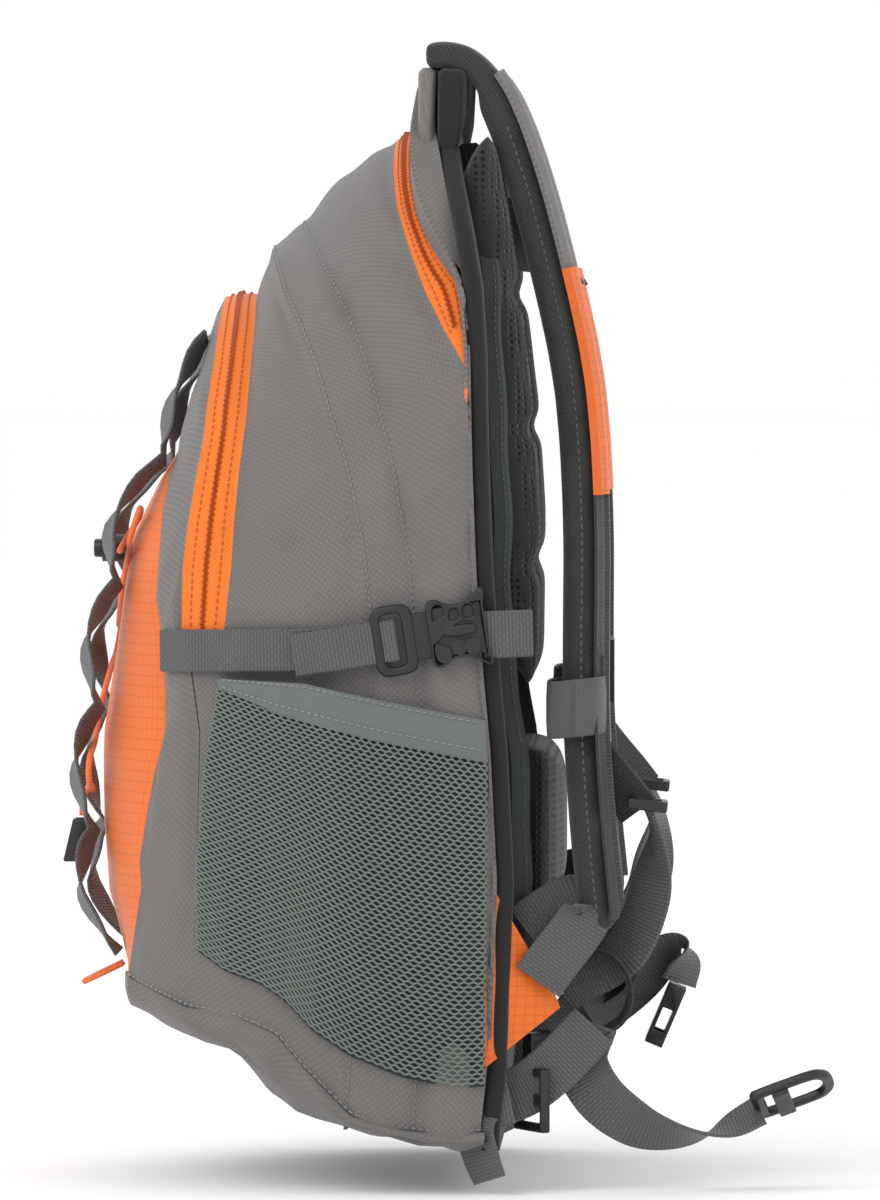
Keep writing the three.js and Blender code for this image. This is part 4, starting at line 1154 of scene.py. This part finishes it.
def add_front_webbing():
    """Two webbings down the front, tacked at intervals so that they stand off in loops between."""
    for side, way in SIDES:
        route, across = [], []
        for i in range(5 * 12 + 1):
            z = 386 - (386 - 92) * i / 60
            edge = np.interp(z, [p[1] for p in FRONT_BULGE] + [368, 392],
                             [p[0] for p in FRONT_BULGE] + [-133, -131])
            swing = math.sin(math.pi * i / 12)
            route.append((way * (46 + 3 * math.sin(i * 0.5)), edge - 2.2 - 9.0 * abs(swing) ** 0.8, z))
            turn = 0.35 * math.sin(math.pi * i / 6 + 0.6)
            across.append((way * math.cos(turn), -math.sin(turn), 0))
        strap = webbing_strip(f"front_loops_{side}", metres(route), across, STRAP_WIDTH, GREY_WEBBING)
        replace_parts(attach(strap, "pack"), f"front_webbing_{side}")


def add_cords():
    for name, node, route, exit_point in (
            ("bungee", "bungee_cord", BUNGEE_ROUTE, BUNGEE_ROUTE[0]),
            ("tool_loop_cord", "tool_loop", TOOL_LOOP_ROUTE, TOOL_LOOP_ROUTE[0])):
        path = smooth_path(route, 8)
        tube = round_tube(name, path, CORD_DIAMETER / 2, ORANGE_ELASTIC)
        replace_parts(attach(tube, "pack"), node)
        if name == "bungee":
            end = refined("cord_end", "pack", 1.2)
    refined("cord_lock", "lock", 1.0)
    refined("cord_lock_button", "lock_button", 0.9)


# ---------------------------------------------------------------- harness
STRAP_LINE = [(-30, 518), (-12, 517), (3, 502), (18, 463), (32, 410), (42, 360), (46, 300), (46, 240),
              (46.5, 200), (50, 150), (55, 104)]


def strap_flare(z):
    """How far a strap stands outwards at a height, in millimetres, as it runs round the wearer's side."""
    t = np.clip((400 - z) / 250, 0, 1)
    return 40 * t * t * (3 - 2 * t)


def strap_places(heights, stand):
    """Places on a shoulder strap's middle line at some heights, off it by a distance, in millimetres."""
    line = smooth_path([(0, y, z) for y, z in STRAP_LINE], 8)[::-1, 1:]
    heights = np.asarray(heights, float)
    y = np.interp(heights, line[:, 1], line[:, 0])
    above = np.interp(heights + 4, line[:, 1], line[:, 0])
    below = np.interp(heights - 4, line[:, 1], line[:, 0])
    slope = (above - below) / 8
    normal = np.stack([np.ones_like(slope), -slope], axis=1) / np.sqrt(1 + slope ** 2)[:, None]
    x = STRAP_APART_MM + strap_flare(heights)
    return np.stack([x, y + normal[:, 0] * stand, heights + normal[:, 1] * stand], axis=1)


FACING_LIFT = 0.0005  # how far a facing's underside lies off the padding
FACING_DROP = 0.0035  # how far its edges may follow the padding down


def laid_on(name, surface, heights, flip, width, material, solid):
    """A strip of cloth that lies on a strap's padding, a little off it, wherever the padding bulges."""
    low = metres(strap_places(heights, 0) * flip)
    high = metres(strap_places(heights, 25) * flip)
    columns = 19
    places, uvs = [], []
    run = 0.0
    for i in range(len(heights)):
        out = Vector(high[i] - low[i]).normalized()
        run += 0 if i == 0 else float(np.linalg.norm(low[i] - low[i - 1]))
        row = np.linspace(-width / 2, width / 2, columns)
        starts = [Vector(high[i]) + Vector((across, 0, 0)) for across in row]
        depths = [surface.ray_cast(start, -out, 0.06)[3] or 0.06 for start in starts]
        deepest = depths[columns // 2] + FACING_DROP
        for across, start, depth in zip(row, starts, depths):
            places.append(start - out * (min(depth, deepest) - FACING_LIFT))
            uvs.append((across, run))
    piece = new_piece(name, places, grid_faces(len(heights), columns), material, uvs)
    facing(piece, spot(0, -300, 300))
    finish_with(piece, "SOLIDIFY", thickness=solid, offset=1.0)
    return smooth_shading(piece, 60)


def add_shoulder_straps():
    for side, way in SIDES:
        flip = np.array([way, 1, 1])
        padding = stuffed(f"shoulder_padding_{side}", f"shoulder_strap_{side}", STRAP_CLOTH, 0.0025,
                          "harness")
        surface = BVHTree.FromObject(padding, bpy.context.evaluated_depsgraph_get())
        for name, top, foot, solid, width, cloth_used in (
                ("top_facing", 506, 414, 0.0022, 0.0595, GREY_PACK_CLOTH),
                ("facing", 416, 311, 0.0040, 0.060, ORANGE_RIPSTOP),
                ("low_facing", 313, 112, 0.0014, 0.0585, STRAP_CLOTH),
                ("rail", 318, 120, 0.0036, 0.024, GREY_WEBBING)):
            band = laid_on(f"strap_{name}_{side}", surface, np.linspace(top, foot, 60), flip, width,
                           cloth_used, solid)
            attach(band, "harness")
        tab = strap_places(np.linspace(416, 408, 4), 10.5)
        tab[:, 1] += np.linspace(0, 3, 4)
        band = webbing_strip(f"strap_tab_{side}", metres(tab * flip), (1, 0, 0), 0.016, DARK_WEBBING, 0.0025)
        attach(band, "harness")
        add_strap_root(side, way)
        for edge in (-1, 1):
            line = strap_places(np.linspace(488, 112, 90), 0.0)
            line[:, 0] += edge * 29.9
            line = metres(line * flip)
            out = np.tile([edge * way, 0, 0], (len(line), 1))
            stitch_row(f"strap_stitches_{side}_{'outer' if edge > 0 else 'inner'}", line + out * 0.0004,
                       out, DARK_THREAD, pitch=0.0040, body="harness")
        centre = strap_places([212], 0)[0]
        ring = []
        for turn in np.linspace(0, 2 * math.pi, 49)[:-1]:
            wide = 32.5 * np.sign(math.cos(turn)) * abs(math.cos(turn)) ** 0.4
            deep = 13.5 * np.sign(math.sin(turn)) * abs(math.sin(turn)) ** 0.75
            ring.append((centre[0] + wide, centre[1] + deep - 2.5, centre[2] + 0.10 * deep))
        add_band(f"strap_keeper_{side}", np.array(ring) * flip, 27, "harness")


def add_strap_root(side, way):
    """Cloth that closes the space between a strap's end and the arch of the back below it."""
    for name, front, back_top, back_low, cloth_used in (
            ("root_front", -31.5, -22.5, -22.5, GREY_PACK_CLOTH),
            ("root_back", -22.4, -8.0, -14.0, BLACK_NYLON)):
        rings = []
        for x in np.linspace(41.5, 102.5, 22):
            foot = BACK_ARCH_FOOT_MM + math.sqrt(BACK_ARCH_MM ** 2 - x ** 2) - 16
            inset = 2.2 * (abs(x - STRAP_APART_MM) / 30.5) ** 6
            top = 512.5 - inset
            mid = (foot + top) / 2
            rings.append([(x * way, y, z) for y, z in (
                (front + inset, foot), (front + inset * 0.6, mid), (front + inset, top - 2),
                (front + 2.5, top), (back_top - 2.5, top), (back_top - inset, top - 2),
                (back_top - 1.0 - inset, mid), (back_low - inset, foot))])
        grid = np.array(rings)
        count = grid.shape[1]
        faces = grid_faces(len(rings), count, closed=True)
        faces += [tuple(range(count)), tuple((len(rings) - 1) * count + j for j in range(count))[::-1]]
        across = np.concatenate([[0], np.cumsum(np.linalg.norm(np.diff(grid[0], axis=0), axis=1))]) / 1000
        uvs = [(abs(grid[i, 0, 0]) / 1000, across[j]) for i in range(len(rings)) for j in range(count)]
        piece = tidy(new_piece(f"strap_{name}_{side}", metres(grid), faces, cloth_used, uvs), 1e-6)
        finish_with(piece, "BEVEL", width=0.0012, segments=2, limit_method="ANGLE", angle_limit=0.7)
        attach(smooth_shading(piece, 50), "pack")


def add_band(name, ring, tall, body):
    """An elastic band round a strap, given by one loop of points in millimetres."""
    middle = ring.mean(axis=0)
    rows = []
    for lift, out in ((-0.5, -0.6), (-0.48, 0.5), (-0.2, 0.9), (0.2, 0.9), (0.48, 0.5), (0.5, -0.6)):
        away = ring - middle
        away /= np.linalg.norm(away, axis=1, keepdims=True)
        rows.append(ring + away * out + np.array([0, 0, lift * tall]))
    grid = np.stack(rows)
    count = grid.shape[1]
    points = metres(grid)
    uvs = [(i * tall / 5000, j * 0.005) for i in range(len(rows)) for j in range(count)]
    piece = new_piece(name, points, grid_faces(len(rows), count, closed=True), GREY_WEBBING, uvs)
    tidy(piece, 1e-6)
    facing(piece, Vector(metres(middle)[0]))
    finish_with(piece, "SOLIDIFY", thickness=0.0012, offset=-1.0)
    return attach(smooth_shading(piece, 50), body)


def turned_strip(name, route, x, width, material):
    """A webbing that twists: its route gives y, z and its turn, 0 edge on and 90 flat to the side."""
    line = smooth_path(route)
    path = np.stack([np.full(len(line), float(x)), line[:, 0], line[:, 1]], axis=1)
    along = np.gradient(path, axis=0)
    along /= np.linalg.norm(along, axis=1, keepdims=True)
    flat = np.cross((1.0, 0, 0), along)
    turn = np.radians(line[:, 2])[:, None]
    across = np.cos(turn) * np.array([1.0, 0, 0]) + np.sin(turn) * flat
    return webbing_strip(name, metres(path), across, width, material)


# Each route gives y and z in millimetres and the webbing's turn in degrees.
ADJUSTER_TOP = [(47, 196, 55), (56, 184, 55), (66, 172, 55), (73, 163, 55)]
ADJUSTER_ROUTE = [(76, 166, 4), (81, 152, 12), (79, 130, 50), (75, 113, 55), (67, 98, 62), (56, 90, 70),
                  (45, 85, 75), (36, 79, 80)]
HIP_RIGHT_ROUTE = [(51, 64, 82), (46, 47, 85), (54, 30, 82), (70, 17, 66), (86, 11.5, 40), (102, 11, 12),
                   (117, 16, -22), (130, 23, -30)]
HIP_LEFT_ROUTE = [(47, 50, 60), (60, 58, 62), (73, 70, 66), (84, 82, 50), (93, 86, 20), (95, 78, -30),
                  (91, 67, -45)]
HIP_END_RISE = math.radians(20)
HIP_LOOP = both_ways([(-1, 5), (-1, 13), (4, 16), (28, 16), (35, 12), (38, 5)])
HIP_LOOP_SLOT = both_ways([(5, 4), (5, 10), (8, 12), (27, 12), (31.5, 9), (33, 4)])
HIP_LOOP_BAR = both_ways([(9, 1), (9, 7), (9, 13.6), (10, 14.6), (16, 14.6), (17, 13.6), (17, 7), (17, 1)])


def add_lower_webbing():
    for side, way in SIDES:
        strap = turned_strip(f"adjuster_strap_{side}", [(y, z, turn * way) for y, z, turn in ADJUSTER_ROUTE],
                             ADJUSTER_APART_MM * way, BELT_WIDTH, GREY_WEBBING)
        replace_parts(strap, f"adjuster_webbing_{side}")
        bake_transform(strap)
        top = turned_strip(f"adjuster_anchor_{side}", [(y, z, turn * way) for y, z, turn in ADJUSTER_TOP],
                           ADJUSTER_APART_MM * way, BELT_WIDTH, DARK_WEBBING)
        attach(top, "harness")
        refined(f"ladder_lock_{side}", f"ladder_{side}", 0.9)
        refined(f"tri_glide_{side}", "pack", 0.9)
        add_wing_webbing(side, way)
    for node, route, x, body in (("hip_webbing_right", HIP_RIGHT_ROUTE, HIP_APART_MM, "hip_right"),
                                 ("hip_webbing_left", HIP_LEFT_ROUTE, -HIP_APART_MM, "hip_left")):
        strap = turned_strip(f"{node}_strap", route, x, BELT_WIDTH, GREY_WEBBING)
        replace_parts(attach(strap, body), node)
    tilt = math.radians(24)
    along = Vector((0, math.cos(HIP_END_RISE), math.sin(HIP_END_RISE)))
    across = Vector((math.cos(tilt), -math.sin(tilt) * along.z, math.sin(tilt) * along.y))
    place = along_frame(spot(HIP_APART_MM, 128, 25), along, across)
    loop = cut_plate("hip_loop", (HIP_LOOP, HIP_LOOP_SLOT), 4.5, 1.4, place)
    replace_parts(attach(loop, "hip_right"), "hip_plug")
    bar = cut_plate("hip_loop_bar", (HIP_LOOP_BAR,), 3.0, 0.8, place @ Matrix.Translation((0, 0, 0.003)))
    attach(bar, "hip_right")
    refined("hip_socket", "hip_left", 0.9)


WING_KEEPER = [(47, 99, 4), (57, 97, 4), (66, 88, 4), (69, 76, 4), (65, 65, 4), (55, 58, 4)]
WING_FOLD_FRONT = [(26, 84, 86), (34, 95, 86), (44, 108, 82), (49, 116, 70), (50, 120, 30)]
WING_FOLD_BEHIND = [(50, 120, 30), (46, 123, 60), (38, 120, 80), (28, 114, 86), (20, 108, 86)]
WING_GLIDE_RUN = [(52, 63, 78), (42, 52, 84), (32, 42, 86), (20, 33, 86), (8, 28, 86)]
WING_GLIDE_TAIL = [(13, 30, 86), (4, 28, 84), (-3, 25, 70), (-4, 14, 50), (0, 0, 44), (3.5, -9, 40)]


def add_wing_webbing(side, way):
    """The wing's curved keeper, the webbing folded over above it, and one through the tri-glide below."""
    for name, route, x, width, material in (
            ("keeper", WING_KEEPER, ADJUSTER_APART_MM, BELT_WIDTH + 0.004, BLACK_ACETAL),
            ("fold_front", WING_FOLD_FRONT, WING_APART_MM + 1, BELT_WIDTH, GREY_WEBBING),
            # Painted shade: the part of the webbing folded behind is drawn in the darker webbing.
            ("fold_behind", WING_FOLD_BEHIND, WING_APART_MM - 7, BELT_WIDTH, DARK_WEBBING),
            ("glide_run", WING_GLIDE_RUN, WING_APART_MM - 9, BELT_WIDTH, GREY_WEBBING),
            ("glide_tail", WING_GLIDE_TAIL, WING_APART_MM, BELT_WIDTH, GREY_WEBBING)):
        strap = turned_strip(f"wing_{name}_{side}", [(y, z, turn * way) for y, z, turn in route],
                             x * way, width, material)
        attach(strap, "pack")


def add_sternum_strap():
    for node, ends, body in (("sternum_webbing_right", (29, 122), "sternum"),
                             ("sternum_webbing_left", (-122, -18), "sternum_left")):
        path = metres([(x, 56 + 0.8 * math.sin(x / 9), 226) for x in np.linspace(*ends, 24)])
        strap = webbing_strip(f"{node}_strap", path, (0, 0, 1), STRAP_WIDTH, GREY_WEBBING)
        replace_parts(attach(strap, body), node)
    refined("sternum_socket", "sternum", 0.9)
    refined("sternum_plug", "sternum_left", 0.8)


# ---------------------------------------------------------------- stage
FLOOR_Z = -0.168


def add_stage():
    corners = [(-80, -80, FLOOR_Z), (80, -80, FLOOR_Z), (80, 80, FLOOR_Z), (-80, 80, FLOOR_Z)]
    matt_white = start_material("matt_white_floor", "#ffffff", 0.9)[0]
    floor = new_piece("floor", corners, [(0, 1, 2, 3)], matt_white)
    world = bpy.data.worlds.new("studio")
    bpy.context.scene.world = world
    world.use_nodes = True
    background = world.node_tree.nodes["Background"]
    background.inputs["Color"].default_value = (1, 1, 1, 1)
    background.inputs["Strength"].default_value = 1.0
    for name, place, size, power in (("key", (2.2, -1.6, 2.2), 2.0, 36), ("fill", (2.0, 2.4, 1.2), 2.5, 8),
                                     ("back", (-2.5, 0.5, 2.0), 2.0, 10)):
        light = bpy.data.lights.new(name, "AREA")
        light.size = size
        light.energy = power
        lamp = bpy.data.objects.new(name, light)
        lamp.location = place
        lamp.rotation_euler = (Vector(place) - Vector((0, -0.05, 0.1))).to_track_quat("Z", "Y").to_euler()
        bpy.context.scene.collection.objects.link(lamp)
    bpy.context.scene.view_settings.view_transform = "Standard"


def paint_cad_nodes():
    """The part's own solids that no piece stands for, such as the sheet in the back, get their finishes."""
    for name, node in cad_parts.items():
        if not node.hide_render:
            node.data.materials.clear()
            node.data.materials.append(FRAME_BOARD if name == "frame_sheet" else BLACK_ACETAL)


add_camera()
add_bag_panels()
add_front_cloth()
add_base_cloth()
add_divider()
add_back_cloth()
add_back_padding()
add_binding()
add_zip_teeth("main_zip_teeth", "main_zip_chain", ("zip_rear", "zip_front"), 64, -64)
add_zip_teeth("front_zip_teeth", "front_zip_chain", ("front_zip_rear", "front_zip_front"), 46, -46)
add_sliders()
add_compression_straps()
add_net_pockets()
add_wings()
add_haul_loop()
add_front_webbing()
add_cords()
add_shoulder_straps()
add_lower_webbing()
add_sternum_strap()
paint_cad_nodes()
add_stage()
